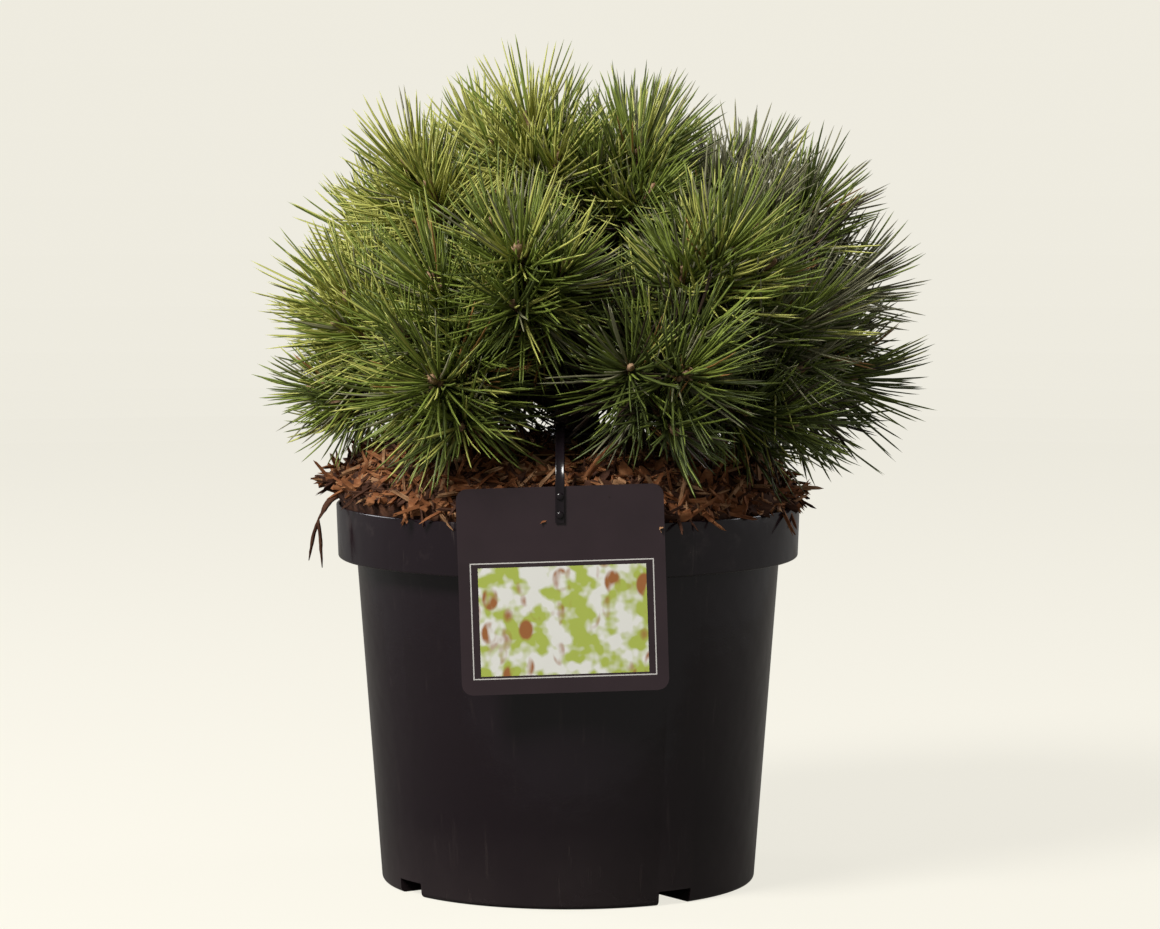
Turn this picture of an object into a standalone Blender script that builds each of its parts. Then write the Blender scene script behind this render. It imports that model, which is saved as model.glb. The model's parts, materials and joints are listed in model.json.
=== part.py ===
"""A dwarf Austrian pine in a black nursery pot, with its bark mulch and its hanging label.

Metres, +Z up. The pot stands on Z = 0 with its axis on the origin, and its front faces -Y.
"""

import math
from collections import namedtuple

import bmesh
import bpy
from mathutils import Matrix, Vector, noise

TOUCH_GAP = 0.0003  # left between pieces that touch

# Pot: a thin moulded shell with a stepped rim band
POT_HEIGHT = 0.213
RIM_RADIUS = 0.130
RIM_BAND_HEIGHT = 0.030
RIM_BAND_TAPER = 0.001
RIM_STEP = 0.0115  # how far the band stands out from the wall under it
BASE_RADIUS = 0.105
POT_WALL = 0.0016
POT_SIDES = 48

# Four raised channels under the base, open at the foot of the wall, with drain holes in their roofs
CHANNEL_COUNT = 4
CHANNEL_BEARING = math.radians(-56)
CHANNEL_WIDTH = 0.021
CHANNEL_HEIGHT = 0.008
CHANNEL_START = 0.040
DRAIN_RADIUS = 0.005
DRAIN_REACHES = (0.062, 0.090)

# Potting mix: fills the pot and is heaped over the rim, highest on the left
MIX_SIDES = 24
MIX_EDGE_RISE = 0.0015
MIX_HEAP_RISE = 0.027
MIX_HEAP_POWER = 8.0
MIX_LEFT_RISE = 0.014
MIX_LUMP = 0.0022
MIX_LUMP_SIZE = 0.022
MIX_RING_RADII = (0.050, 0.080, 0.100, 0.112, 0.121)
SOIL_HEIGHT = POT_HEIGHT + MIX_EDGE_RISE + MIX_HEAP_RISE
SEAT_RADIUS = 0.026  # level ground round the foot of the trunk

# Trunk: a flared foot, a slight lean to the left and a fork below the top shoots
TRUNK_TOP = 0.345
TRUNK_LEAN = Vector((-0.012, 0.004))
TRUNK_FOOT = Vector((0.006, 0.003))
TRUNK_FLARE_RADIUS = 0.0185
TRUNK_NECK_RADIUS = 0.0130
TRUNK_TOP_RADIUS = 0.0085
TRUNK_BEND = 1.4  # above 1, the lean grows towards the top
TRUNK_STEPS = (0.0, 0.05, 0.13, 0.3, 0.5, 0.75, 1.0)
FLARE_HEIGHT = 0.004  # over which the flare shrinks to a third
FLARE_LOBES = 5
FLARE_LOBE_DEPTH = 0.10
TRUNK_ROUNDING = 3

# Limbs
BOUGH_RADIUS = 0.0058
SIDE_RADIUS = 0.0042
LIMB_END_RADIUS = 0.0033
LIMB_POINTS = 7
LIMB_PULL = 0.42  # how far each end's direction carries into the limb
LIMB_ROUNDING = 1
BOUGH_RISE = math.radians(24)  # the least rise at which a bough leaves the trunk
BOUGH_RISE_SHARE = 0.75

# Needle masses
MASS_SEGMENTS = 12
MASS_RINGS = 8
MASS_GAP = 0.0012
NEEDLE_REACH = 0.056  # how far needles stand past the bud
NEEDLE_SIDE = 0.056  # and out to the sides
LEAFY_LENGTH = 0.046  # how much of each shoot carries needles
MASS_SET_BACK = 0.004  # from the bud to the middle of its mass
LOBE_DEPTH = 0.20
LOBE_TURNS = 1.9
LOBE_SHIFT = Vector((3.7, 1.3, -2.1))  # between one mass's lobes and the next one's

# Hanging label and its strap
CARD_SIZE = 0.111
CARD_CORNER = 0.006
CARD_THICKNESS = 0.0008
CARD_CENTRE = Vector((-0.0026, 0.1783))  # across and up
CARD_TILT = math.radians(1.8)
STRAP_WIDTH = 0.0050
STRAP_THICKNESS = 0.0010
STRAP_ACROSS = -0.0040
STRAP_LOOP_HEIGHT = 0.2525
STRAP_LOOP_RADIUS = 0.0168
STRAP_ARCH_HEIGHT = 0.267
STRAP_STEPS = 12
STUD_RADIUS = 0.0021
STUD_DEPTH = 0.0016
STUD_HEIGHTS = (0.2285, 0.2185)
ROUND_SIDES = 12  # of drain holes and studs

# One shoot for each needle mass. The bud's place is a bearing from the front (degrees, positive to the
# right), a reach from the pot's axis and a height. The shoot points along its own bearing and rise, and
# spread scales its needles. It grows on the limb `parent` at `start`, a height on the trunk or a share
# of the way along a limb.
Shoot = namedtuple("Shoot", "bearing reach height points rise spread parent start")
SHOOTS = {
    "top_centre": Shoot(-46, 0.029, 0.420, -40, 80, 0.95, "trunk", 0.345),
    "top_right": Shoot(62, 0.045, 0.406, 62, 70, 0.95, "trunk", 0.335),
    "top_back_left": Shoot(-138, 0.070, 0.408, -140, 66, 0.90, "trunk", 0.330),
    "top_back": Shoot(150, 0.074, 0.406, 150, 66, 0.95, "trunk", 0.327),
    "top_left": Shoot(-68, 0.091, 0.397, -72, 60, 0.86, "trunk", 0.321),
    "front_centre": Shoot(-11, 0.130, 0.356, -8, 38, 1.0, "trunk", 0.308),
    "right_upper": Shoot(90, 0.131, 0.373, 88, 46, 0.92, "trunk", 0.314),
    "back_upper_right": Shoot(156, 0.141, 0.362, 155, 42, 0.95, "trunk", 0.308),
    "back_upper_left": Shoot(-141, 0.133, 0.364, -141, 45, 0.95, "trunk", 0.310),
    "left_back_upper": Shoot(-108, 0.112, 0.358, -112, 44, 0.92, "trunk", 0.297),
    "left_front": Shoot(-34, 0.124, 0.338, -34, 50, 0.95, "trunk", 0.290),
    "right_front": Shoot(42, 0.126, 0.358, 38, 54, 1.0, "trunk", 0.297),
    "right_middle": Shoot(92, 0.150, 0.331, 93, 26, 0.92, "trunk", 0.286),
    "back_middle": Shoot(173, 0.148, 0.320, 173, 24, 1.0, "trunk", 0.286),
    "left_foot": Shoot(-30, 0.139, 0.289, -14, 12, 1.0, "trunk", 0.268),
    "right_front_low": Shoot(24, 0.150, 0.294, 24, 8, 1.0, "trunk", 0.272),
    "right_lower": Shoot(96, 0.152, 0.282, 97, 2, 1.0, "trunk", 0.267),
    "back_left": Shoot(-121, 0.140, 0.312, -121, 22, 0.92, "trunk", 0.280),
    "back_foot_right": Shoot(152, 0.156, 0.274, 152, 6, 0.95, "trunk", 0.271),
    "back_foot_left": Shoot(-152, 0.150, 0.274, -152, 6, 0.95, "trunk", 0.268),
    "top_back_right": Shoot(118, 0.115, 0.391, 116, 54, 0.86, "right_upper", 0.30),
    "left_upper": Shoot(-71, 0.128, 0.328, -75, 38, 0.95, "left_foot", 0.66),
    "left_lower": Shoot(-80, 0.135, 0.278, -92, 2, 0.68, "left_foot", 0.45),
    "right_front_mid": Shoot(64, 0.138, 0.316, 62, 26, 0.95, "right_middle", 0.26),
    "right_foot": Shoot(62, 0.130, 0.264, 64, -10, 0.90, "right_lower", 0.34),
    "back_right": Shoot(126, 0.156, 0.324, 126, 26, 0.95, "right_middle", 0.34),
}


def clear_scene():
    for item in list(bpy.data.objects):
        bpy.data.objects.remove(item, do_unlink=True)


def new_collection(name):
    made = bpy.data.collections.new(name)
    bpy.context.scene.collection.children.link(made)
    return made


def principled(name, colour, roughness):
    """A plain opaque material; nothing on this object is metal."""
    made = bpy.data.materials.new(name)
    made.use_nodes = True
    shader = made.node_tree.nodes["Principled BSDF"]
    shader.inputs["Base Color"].default_value = (*colour, 1.0)
    shader.inputs["Roughness"].default_value = roughness
    shader.inputs["Metallic"].default_value = 0.0
    return made


def add_object(name, data, collection, material=None):
    made = bpy.data.objects.new(name, data)
    collection.objects.link(made)
    if material:
        made.data.materials.clear()
        made.data.materials.append(material)
    return made


def mark_as_cutter(item):
    item.hide_render = True
    item.display_type = "WIRE"
    return item


def meshed(item, collection):
    """The evaluated object as a plain mesh object of the same name, its loose caps welded."""
    graph = bpy.context.evaluated_depsgraph_get()
    mesh = bpy.data.meshes.new_from_object(item.evaluated_get(graph))
    place = item.matrix_world.copy()
    name = item.name
    bpy.data.objects.remove(item, do_unlink=True)
    work = bmesh.new()
    work.from_mesh(mesh)
    bmesh.ops.remove_doubles(work, verts=work.verts, dist=1e-6)
    work.to_mesh(mesh)
    work.free()
    made = add_object(name, mesh, collection)
    made.matrix_world = place
    return made


def mesh_from_bmesh(name, work, collection):
    mesh = bpy.data.meshes.new(name)
    work.to_mesh(mesh)
    work.free()
    return add_object(name, mesh, collection)


def boolean(item, operation, other):
    modifier = item.modifiers.new(f"{operation.lower()} {other.name}", "BOOLEAN")
    modifier.operation = operation
    modifier.object = other
    modifier.solver = "EXACT"


def turned(name, profile, sides, collection):
    """A solid turned round Z from radii and heights, given down the outer side."""
    mesh = bpy.data.meshes.new(name)
    edges = [(i, i + 1) for i in range(len(profile) - 1)]
    mesh.from_pydata([(radius, 0.0, height) for radius, height in profile], edges, [])
    made = add_object(name, mesh, collection)
    screw = made.modifiers.new("turn", "SCREW")
    screw.steps = sides
    screw.render_steps = sides
    screw.use_merge_vertices = True
    screw.merge_threshold = 0.00001
    return meshed(made, collection)


def channel_turn(index):
    """The rotation that takes +X to a drain channel's bearing."""
    turn = CHANNEL_BEARING - math.pi / 2 + index * math.tau / CHANNEL_COUNT
    return Matrix.Rotation(turn, 4, "Z")


def add_rod(work, radius, depth, place):
    bmesh.ops.create_cone(
        work,
        cap_ends=True,
        segments=ROUND_SIDES,
        radius1=radius,
        radius2=radius,
        depth=depth,
        matrix=place,
    )


def radial_boxes(name, inner, outer, width, low, high, collection):
    """One box along each drain channel's bearing, all in one mesh."""
    work = bmesh.new()
    centre = Matrix.Translation(((inner + outer) / 2, 0.0, (low + high) / 2))
    size = Matrix.Diagonal((outer - inner, width, high - low, 1.0))
    for index in range(CHANNEL_COUNT):
        bmesh.ops.create_cube(work, size=1.0, matrix=channel_turn(index) @ centre @ size)
    return mesh_from_bmesh(name, work, collection)


def drain_holes(collection):
    """A rod through each hole in the roofs of the drain channels."""
    work = bmesh.new()
    for index in range(CHANNEL_COUNT):
        for reach in DRAIN_REACHES:
            place = channel_turn(index) @ Matrix.Translation((reach, 0.0, CHANNEL_HEIGHT))
            add_rod(work, DRAIN_RADIUS, CHANNEL_HEIGHT, place)
    return mesh_from_bmesh("drain_holes", work, collection)


def inner_wall(inset):
    """Radii and heights of the pot's inside from the foot of the wall to the rim, moved in by inset."""
    shoulder = POT_HEIGHT - RIM_BAND_HEIGHT + POT_WALL + inset
    band_foot = RIM_RADIUS - RIM_BAND_TAPER - POT_WALL - inset
    return [
        (BASE_RADIUS - POT_WALL - inset, POT_WALL + inset),
        (RIM_RADIUS - RIM_STEP - POT_WALL - inset, shoulder),
        (band_foot, shoulder),
        (RIM_RADIUS - POT_WALL - inset, POT_HEIGHT),
    ]


def outer_wall():
    """The same for the pot's outside, from the rim down to the ground."""
    band_foot = POT_HEIGHT - RIM_BAND_HEIGHT
    return [
        (RIM_RADIUS, POT_HEIGHT),
        (RIM_RADIUS - RIM_BAND_TAPER, band_foot),
        (RIM_RADIUS - RIM_STEP, band_foot),
        (BASE_RADIUS, 0.0),
    ]


def channel_blocks(cutters):
    """The outer form of the raised channels, ending in the middle of the pot's wall."""
    low_radius = BASE_RADIUS - POT_WALL / 2
    top = 2 * CHANNEL_HEIGHT
    slope = (RIM_RADIUS - RIM_STEP - BASE_RADIUS) / (POT_HEIGHT - RIM_BAND_HEIGHT)
    profile = [(0.0, top), (low_radius + slope * top, top), (low_radius, 0.0), (0.0, 0.0)]
    form = turned("pot_form", profile, POT_SIDES, cutters)
    wide = CHANNEL_WIDTH + 2 * POT_WALL
    roof = CHANNEL_HEIGHT + POT_WALL
    blocks = radial_boxes(
        "channel_blocks", CHANNEL_START, RIM_RADIUS, wide, POT_WALL / 2, roof, cutters
    )
    boolean(blocks, "INTERSECT", mark_as_cutter(form))
    return mark_as_cutter(blocks)


def make_pot(parts, cutters, material):
    shell = [(0.0, POT_WALL), *inner_wall(0.0), *outer_wall(), (0.0, 0.0)]
    pot = turned("pot", shell, POT_SIDES, parts)
    pot.data.materials.append(material)
    start = CHANNEL_START + POT_WALL
    hollow = radial_boxes(
        "channel_hollow", start, RIM_RADIUS, CHANNEL_WIDTH, -POT_WALL, CHANNEL_HEIGHT, cutters
    )
    boolean(pot, "UNION", channel_blocks(cutters))
    boolean(pot, "DIFFERENCE", mark_as_cutter(hollow))
    boolean(pot, "DIFFERENCE", mark_as_cutter(drain_holes(cutters)))


def mix_height(across, deep):
    """Height of the heaped mulch, without its lumps."""
    reach = math.hypot(across, deep)
    share = min(reach / (RIM_RADIUS - POT_WALL), 1.0)
    left = MIX_LEFT_RISE * max(-across - SEAT_RADIUS, 0.0) / RIM_RADIUS
    return POT_HEIGHT + MIX_EDGE_RISE + MIX_HEAP_RISE * (1 - share**MIX_HEAP_POWER) + left


def make_potting_mix(parts, cutters, material):
    edge_radius = RIM_RADIUS - POT_WALL - TOUCH_GAP
    heap = [(0.0, SOIL_HEIGHT), (SEAT_RADIUS, SOIL_HEIGHT)]
    heap += [(radius, mix_height(0.0, radius)) for radius in MIX_RING_RADII]
    heap.append((edge_radius, POT_HEIGHT + MIX_EDGE_RISE))
    foot = POT_WALL + TOUCH_GAP
    profile = [*heap, *reversed(inner_wall(TOUCH_GAP)), (0.0, foot)]
    mix = turned("potting_mix", profile, MIX_SIDES, parts)
    mix.data.materials.append(material)
    for corner in mix.data.vertices:
        place = corner.co
        reach = math.hypot(place.x, place.y)
        if place.z < POT_HEIGHT + MIX_EDGE_RISE / 2 or reach < SEAT_RADIUS + TOUCH_GAP:
            continue
        place.z = mix_height(place.x, place.y)
        if reach < edge_radius - TOUCH_GAP:
            place.z += MIX_LUMP * noise.noise(Vector((place.x, place.y, 0.0)) / MIX_LUMP_SIZE)
    wide = CHANNEL_WIDTH + 2 * POT_WALL + 2 * TOUCH_GAP
    roof = CHANNEL_HEIGHT + POT_WALL + TOUCH_GAP
    room = radial_boxes(
        "channel_room", CHANNEL_START - TOUCH_GAP, RIM_RADIUS, wide, -POT_WALL, roof, cutters
    )
    boolean(mix, "DIFFERENCE", mark_as_cutter(room))


def heading(bearing, rise):
    """A unit vector along a bearing from the front and a rise above level, both in radians."""
    flat = math.cos(rise)
    return Vector((math.sin(bearing) * flat, -math.cos(bearing) * flat, math.sin(rise)))


def tube(name, path, radii, rounding, collection):
    """A tapering limb with flat ends, as a mesh."""
    curve = bpy.data.curves.new(name, "CURVE")
    curve.dimensions = "3D"
    curve.bevel_depth = 1.0
    curve.bevel_resolution = rounding
    curve.use_fill_caps = True
    spline = curve.splines.new("POLY")
    spline.points.add(len(path) - 1)
    for point, place, radius in zip(spline.points, path, radii):
        point.co = (*place, 1.0)
        point.radius = radius
    return meshed(add_object(name, curve, collection), collection)


def trunk_place(height):
    """The middle of the trunk at a height above the ground."""
    share = (height - SOIL_HEIGHT) / (TRUNK_TOP - SOIL_HEIGHT)
    drift = TRUNK_LEAN * max(share, 0.0) ** TRUNK_BEND
    return Vector((TRUNK_FOOT.x + drift.x, TRUNK_FOOT.y + drift.y, height))


def trunk_radius(height):
    share = (height - SOIL_HEIGHT) / (TRUNK_TOP - SOIL_HEIGHT)
    even = TRUNK_NECK_RADIUS + (TRUNK_TOP_RADIUS - TRUNK_NECK_RADIUS) * share
    flare = TRUNK_FLARE_RADIUS - TRUNK_NECK_RADIUS
    return even + flare * math.exp((SOIL_HEIGHT - height) / FLARE_HEIGHT)


def trunk_heights():
    ground = SOIL_HEIGHT + TOUCH_GAP
    return [ground + (TRUNK_TOP - ground) * step for step in TRUNK_STEPS]


def trunk_solid(name, grow, collection):
    """The trunk with its lobed flare, grown outwards all round by grow."""
    heights = trunk_heights()
    path = [trunk_place(height) for height in heights]
    path[0].xy = path[1].xy
    path[0].z -= grow
    path[-1].z += grow
    radii = [trunk_radius(height) + grow for height in heights]
    made = tube(name, path, radii, TRUNK_ROUNDING, collection)
    for corner in made.data.vertices:
        out = corner.co - trunk_place(corner.co.z)
        fade = math.exp((SOIL_HEIGHT - corner.co.z) / (2 * FLARE_HEIGHT))
        lobe = math.cos(FLARE_LOBES * math.atan2(out.y, out.x)) * FLARE_LOBE_DEPTH
        corner.co.xy += out.xy * lobe * fade
    return made


def bezier(points, share):
    a, b, c, d = points
    back = 1 - share
    return back**3 * a + 3 * back**2 * share * b + 3 * back * share**2 * c + share**3 * d


def shoot_bud(shoot):
    bearing = math.radians(shoot.bearing)
    return Vector((math.sin(bearing) * shoot.reach, -math.cos(bearing) * shoot.reach, shoot.height))


def shoot_axis(shoot):
    return heading(math.radians(shoot.points), math.radians(shoot.rise))


def limb_path(shoot, paths):
    """A smooth limb from its parent to where it enters its needle mass."""
    axis = shoot_axis(shoot)
    end = shoot_bud(shoot) - axis * LEAFY_LENGTH * shoot.spread
    if shoot.parent == "trunk":
        start = trunk_place(shoot.start)
        out = math.atan2(end.x - start.x, start.y - end.y)
        leave = heading(out, max(BOUGH_RISE, math.radians(shoot.rise) * BOUGH_RISE_SHARE))
    else:
        parent = paths[shoot.parent]
        place = shoot.start * (len(parent) - 1)
        before = int(place)
        start = parent[before].lerp(parent[before + 1], place - before)
        along = (parent[before + 1] - parent[before]).normalized()
        leave = (along + (end - start).normalized()).normalized()
    pull = (end - start).length * LIMB_PULL
    hull = (start, start + leave * pull, end - axis * pull, end)
    return [bezier(hull, index / (LIMB_POINTS - 1)) for index in range(LIMB_POINTS)]


def limb_radii(shoot):
    thick = BOUGH_RADIUS if shoot.parent == "trunk" else SIDE_RADIUS
    step = (thick - LIMB_END_RADIUS) / (LIMB_POINTS - 1)
    return [thick - step * index for index in range(LIMB_POINTS)]


def all_limb_paths():
    paths = {}
    for name, shoot in SHOOTS.items():
        paths[name] = limb_path(shoot, paths)
    return paths


def dense(path, radii, spacing=0.003):
    """Places and radii close together along a limb."""
    found = []
    for a, b, thick, thin in zip(path, path[1:], radii, radii[1:]):
        count = max(int((b - a).length / spacing), 1)
        for index in range(count):
            share = index / count
            found.append((a.lerp(b, share), thick + (thin - thick) * share))
    return [*found, (path[-1], radii[-1])]


def come_close(first, second):
    """Whether two limbs, as places and radii, touch or nearly touch."""
    for place, radius in first:
        for other, other_radius in second:
            if (place - other).length < radius + other_radius + 2 * TOUCH_GAP:
                return True
    return False


def make_limbs(parts, cutters, material, paths):
    """Each limb, cut back to where it meets the trunk and the limbs made before it."""
    trunk_room = mark_as_cutter(trunk_solid("trunk_room", TOUCH_GAP, cutters))
    rooms = []
    for name, shoot in SHOOTS.items():
        radii = limb_radii(shoot)
        limb = tube(f"bough_{name}", paths[name], radii, LIMB_ROUNDING, parts)
        limb.data.materials.append(material)
        boolean(limb, "DIFFERENCE", trunk_room)
        here = dense(paths[name], radii)
        for room, there in rooms:
            if come_close(here, there):
                boolean(limb, "DIFFERENCE", room)
        wide = [radius + TOUCH_GAP for radius in radii]
        room = tube(f"room_{name}", paths[name], wide, LIMB_ROUNDING, cutters)
        rooms.append((mark_as_cutter(room), here))


def mass_centre(shoot):
    return shoot_bud(shoot) - shoot_axis(shoot) * MASS_SET_BACK


def mass_outline(direction, axis, spread, seed):
    """How far a needle mass reaches along a direction: a domed brush with uneven lobes."""
    along = max(min(direction.dot(axis), 1.0), -1.0)
    side = math.sqrt(1 - along * along)
    reach = 1 / math.sqrt((along / NEEDLE_REACH) ** 2 + (side / NEEDLE_SIDE) ** 2)
    lobes = noise.noise(direction * LOBE_TURNS + LOBE_SHIFT * seed)
    return reach * spread * (1 + LOBE_DEPTH * lobes)


def clear_of(centre, places):
    """Planes that keep a mass clear of balls, given as places and radii, along something thin."""
    gaps = [(place - centre, radius) for place, radius in places]
    return [(gap.normalized(), gap.length - radius - MASS_GAP) for gap, radius in gaps]


def mass_planes(name, paths):
    """Planes that hold a mass clear of its neighbours, as normals and distances from its centre."""
    centre = mass_centre(SHOOTS[name])
    path = paths[name]
    back = (path[-2] - path[-1]).normalized()
    foot = (path[-1] - centre).dot(back) - TOUCH_GAP
    planes = [(back, foot), ground_plane(centre)]
    for other, shoot in SHOOTS.items():
        if other == name:
            continue
        gap = mass_centre(shoot) - centre
        planes.append((gap.normalized(), (gap.length - MASS_GAP) / 2))
        planes += clear_of(centre, dense(paths[other], limb_radii(shoot)))
    strap = strap_path()
    card_top = CARD_CENTRE.y + CARD_SIZE / 2
    card_edge = [Vector((side * CARD_SIZE / 2, strap[-1].y, card_top)) for side in (-1, 1)]
    heights = trunk_heights()
    planes += clear_of(centre, dense(strap, [STRAP_WIDTH / 2] * len(strap)))
    planes += clear_of(centre, dense(card_edge, [2 * CARD_THICKNESS] * 2))
    planes += clear_of(centre, [(trunk_place(height), trunk_radius(height)) for height in heights])
    return planes


def ground_plane(centre):
    """A sloping plane that keeps a mass above the mulch and the rim."""
    reach = math.hypot(centre.x, centre.y)
    step = 0.004
    inside = min(reach, RIM_RADIUS - 2 * step)
    out = Vector((centre.x, centre.y, 0.0)) / reach
    near = out * (inside - step)
    far = out * (inside + step)
    slope = (mix_height(far.x, far.y) - mix_height(near.x, near.y)) / (2 * step)
    normal = Vector((out.x * slope, out.y * slope, -1.0)).normalized()
    height = mix_height(out.x * inside, out.y * inside) + 2 * MIX_LUMP
    touch = Vector((out.x * inside, out.y * inside, height))
    return normal, (touch - centre).dot(normal)


def make_mass(name, parts, material, planes, seed):
    """One closed uneven needle mass, held behind its planes."""
    shoot = SHOOTS[name]
    centre = mass_centre(shoot)
    axis = shoot_axis(shoot)
    work = bmesh.new()
    turn = axis.to_track_quat("Z", "Y").to_matrix().to_4x4()
    bmesh.ops.create_uvsphere(
        work, u_segments=MASS_SEGMENTS, v_segments=MASS_RINGS, radius=1.0, matrix=turn
    )
    for corner in work.verts:
        direction = corner.co.normalized()
        reach = mass_outline(direction, axis, shoot.spread, seed)
        for normal, distance in planes:
            facing = direction.dot(normal)
            if facing > 1e-4:
                reach = min(reach, distance / facing)
        corner.co = centre + direction * reach
    mass = mesh_from_bmesh(f"mass_{name}", work, parts)
    mass.data.materials.append(material)
    mass.data.shade_smooth()


def strap_path():
    """The strap's middle, from the loop on the trunk, over the mulch and down the front of the card."""
    front = -(RIM_RADIUS + TOUCH_GAP + CARD_THICKNESS + TOUCH_GAP + STRAP_THICKNESS / 2)
    trunk = trunk_place(STRAP_LOOP_HEIGHT)
    card_top = CARD_CENTRE.y + CARD_SIZE / 2
    loop_front = math.sqrt(STRAP_LOOP_RADIUS**2 - (STRAP_ACROSS - trunk.x) ** 2)
    hull = (
        Vector((STRAP_ACROSS, trunk.y - loop_front + STRAP_THICKNESS / 4, STRAP_LOOP_HEIGHT)),
        Vector((STRAP_ACROSS, front * 0.4, STRAP_ARCH_HEIGHT)),
        Vector((STRAP_ACROSS, front, STRAP_ARCH_HEIGHT)),
        Vector((STRAP_ACROSS, front, card_top)),
    )
    path = [bezier(hull, index / STRAP_STEPS) for index in range(STRAP_STEPS + 1)]
    path.append(Vector((STRAP_ACROSS, front, STUD_HEIGHTS[-1] - 2 * STUD_RADIUS)))
    return path


def strap_ribbon(path, collection):
    """An open ribbon along the strap's path, drawn in a curve's plane and turned upright across X."""
    curve = bpy.data.curves.new("label_strap", "CURVE")
    curve.dimensions = "2D"
    curve.fill_mode = "NONE"
    curve.extrude = STRAP_WIDTH / 2
    spline = curve.splines.new("POLY")
    spline.points.add(len(path) - 1)
    for point, place in zip(spline.points, path):
        point.co = (place.y, place.z, 0.0, 1.0)
    ribbon = add_object("label_strap", curve, collection)
    upright = Matrix(((0, 0, 1, STRAP_ACROSS), (1, 0, 0, 0), (0, 1, 0, 0), (0, 0, 0, 1)))
    ribbon.matrix_world = upright
    bpy.context.view_layer.update()
    return meshed(ribbon, collection)


def strap_loop(collection):
    """The part of the strap that goes round the trunk."""
    inner = STRAP_LOOP_RADIUS - STRAP_THICKNESS / 2
    outer = STRAP_LOOP_RADIUS + STRAP_THICKNESS / 2
    low = STRAP_LOOP_HEIGHT - STRAP_WIDTH / 2
    high = STRAP_LOOP_HEIGHT + STRAP_WIDTH / 2
    section = [(inner, low), (inner, high), (outer, high), (outer, low), (inner, low)]
    loop = turned("strap_loop", section, 2 * ROUND_SIDES, collection)
    loop.location = trunk_place(STRAP_LOOP_HEIGHT).xy.to_3d()
    return mark_as_cutter(loop)


def strap_studs(front, collection):
    """Two round studs that hold the strap's end on the front of the card."""
    work = bmesh.new()
    for height in STUD_HEIGHTS:
        place = Matrix.Translation((STRAP_ACROSS, front - STUD_DEPTH / 4, height))
        add_rod(work, STUD_RADIUS, STUD_DEPTH, place @ Matrix.Rotation(math.pi / 2, 4, "X"))
    return mark_as_cutter(mesh_from_bmesh("strap_studs", work, collection))


def make_label_strap(parts, cutters, material):
    path = strap_path()
    strap = strap_ribbon(path, parts)
    strap.data.materials.append(material)
    thicken = strap.modifiers.new("thickness", "SOLIDIFY")
    thicken.thickness = STRAP_THICKNESS
    thicken.offset = 0.0
    boolean(strap, "UNION", strap_loop(cutters))
    boolean(strap, "UNION", strap_studs(path[-1].y - STRAP_THICKNESS / 2, cutters))


def make_label(parts, material):
    """A square card with round corners that hangs against the rim's front."""
    half = CARD_SIZE / 2
    curve = bpy.data.curves.new("label", "CURVE")
    curve.dimensions = "2D"
    curve.fill_mode = "BOTH"
    curve.extrude = CARD_THICKNESS / 2
    spline = curve.splines.new("POLY")
    outline = []
    for corner in range(4):
        turn = corner * math.pi / 2
        middle = Matrix.Rotation(turn, 2) @ Vector((half - CARD_CORNER, half - CARD_CORNER))
        for step in range(5):
            angle = turn + step * math.pi / 8
            outline.append(middle + CARD_CORNER * Vector((math.cos(angle), math.sin(angle))))
    spline.points.add(len(outline) - 1)
    for point, place in zip(spline.points, outline):
        point.co = (place.x, place.y, 0.0, 1.0)
    spline.use_cyclic_u = True
    card = add_object("label", curve, parts, material)
    card.location = (CARD_CENTRE.x, -(RIM_RADIUS + TOUCH_GAP + CARD_THICKNESS / 2), CARD_CENTRE.y)
    card.rotation_euler = (math.pi / 2, -CARD_TILT, 0.0)


def build():
    clear_scene()
    parts = new_collection("potted_dwarf_pine")
    cutters = new_collection("cutters")
    black_plastic = principled("black plastic", (0.020, 0.014, 0.018), 0.28)
    mulch = principled("bark mulch", (0.21, 0.085, 0.035), 0.9)
    bark = principled("bark", (0.055, 0.032, 0.022), 0.85)
    needles = principled("needles", (0.085, 0.125, 0.030), 0.6)
    card = principled("printed card", (0.035, 0.022, 0.026), 0.35)
    strap = principled("strap plastic", (0.008, 0.006, 0.008), 0.25)
    make_pot(parts, cutters, black_plastic)
    make_potting_mix(parts, cutters, mulch)
    trunk = trunk_solid("trunk", 0.0, parts)
    trunk.data.materials.append(bark)
    paths = all_limb_paths()
    make_limbs(parts, cutters, bark, paths)
    for seed, name in enumerate(SHOOTS):
        make_mass(name, parts, needles, mass_planes(name, paths), seed)
    make_label(parts, card)
    make_label_strap(parts, cutters, strap)


build()
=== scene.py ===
"""The looks of a dwarf pine in a black nursery pot: needles, buds, bark, mulch, pot and hanging label.

Metres, +Z up. The pot stands on Z = 0 with its axis on the origin, and its front faces -Y.
"""

import json
import math
import random
from collections import namedtuple

import bmesh
import bpy
import numpy as np
from mathutils import Matrix, Vector, noise

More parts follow.
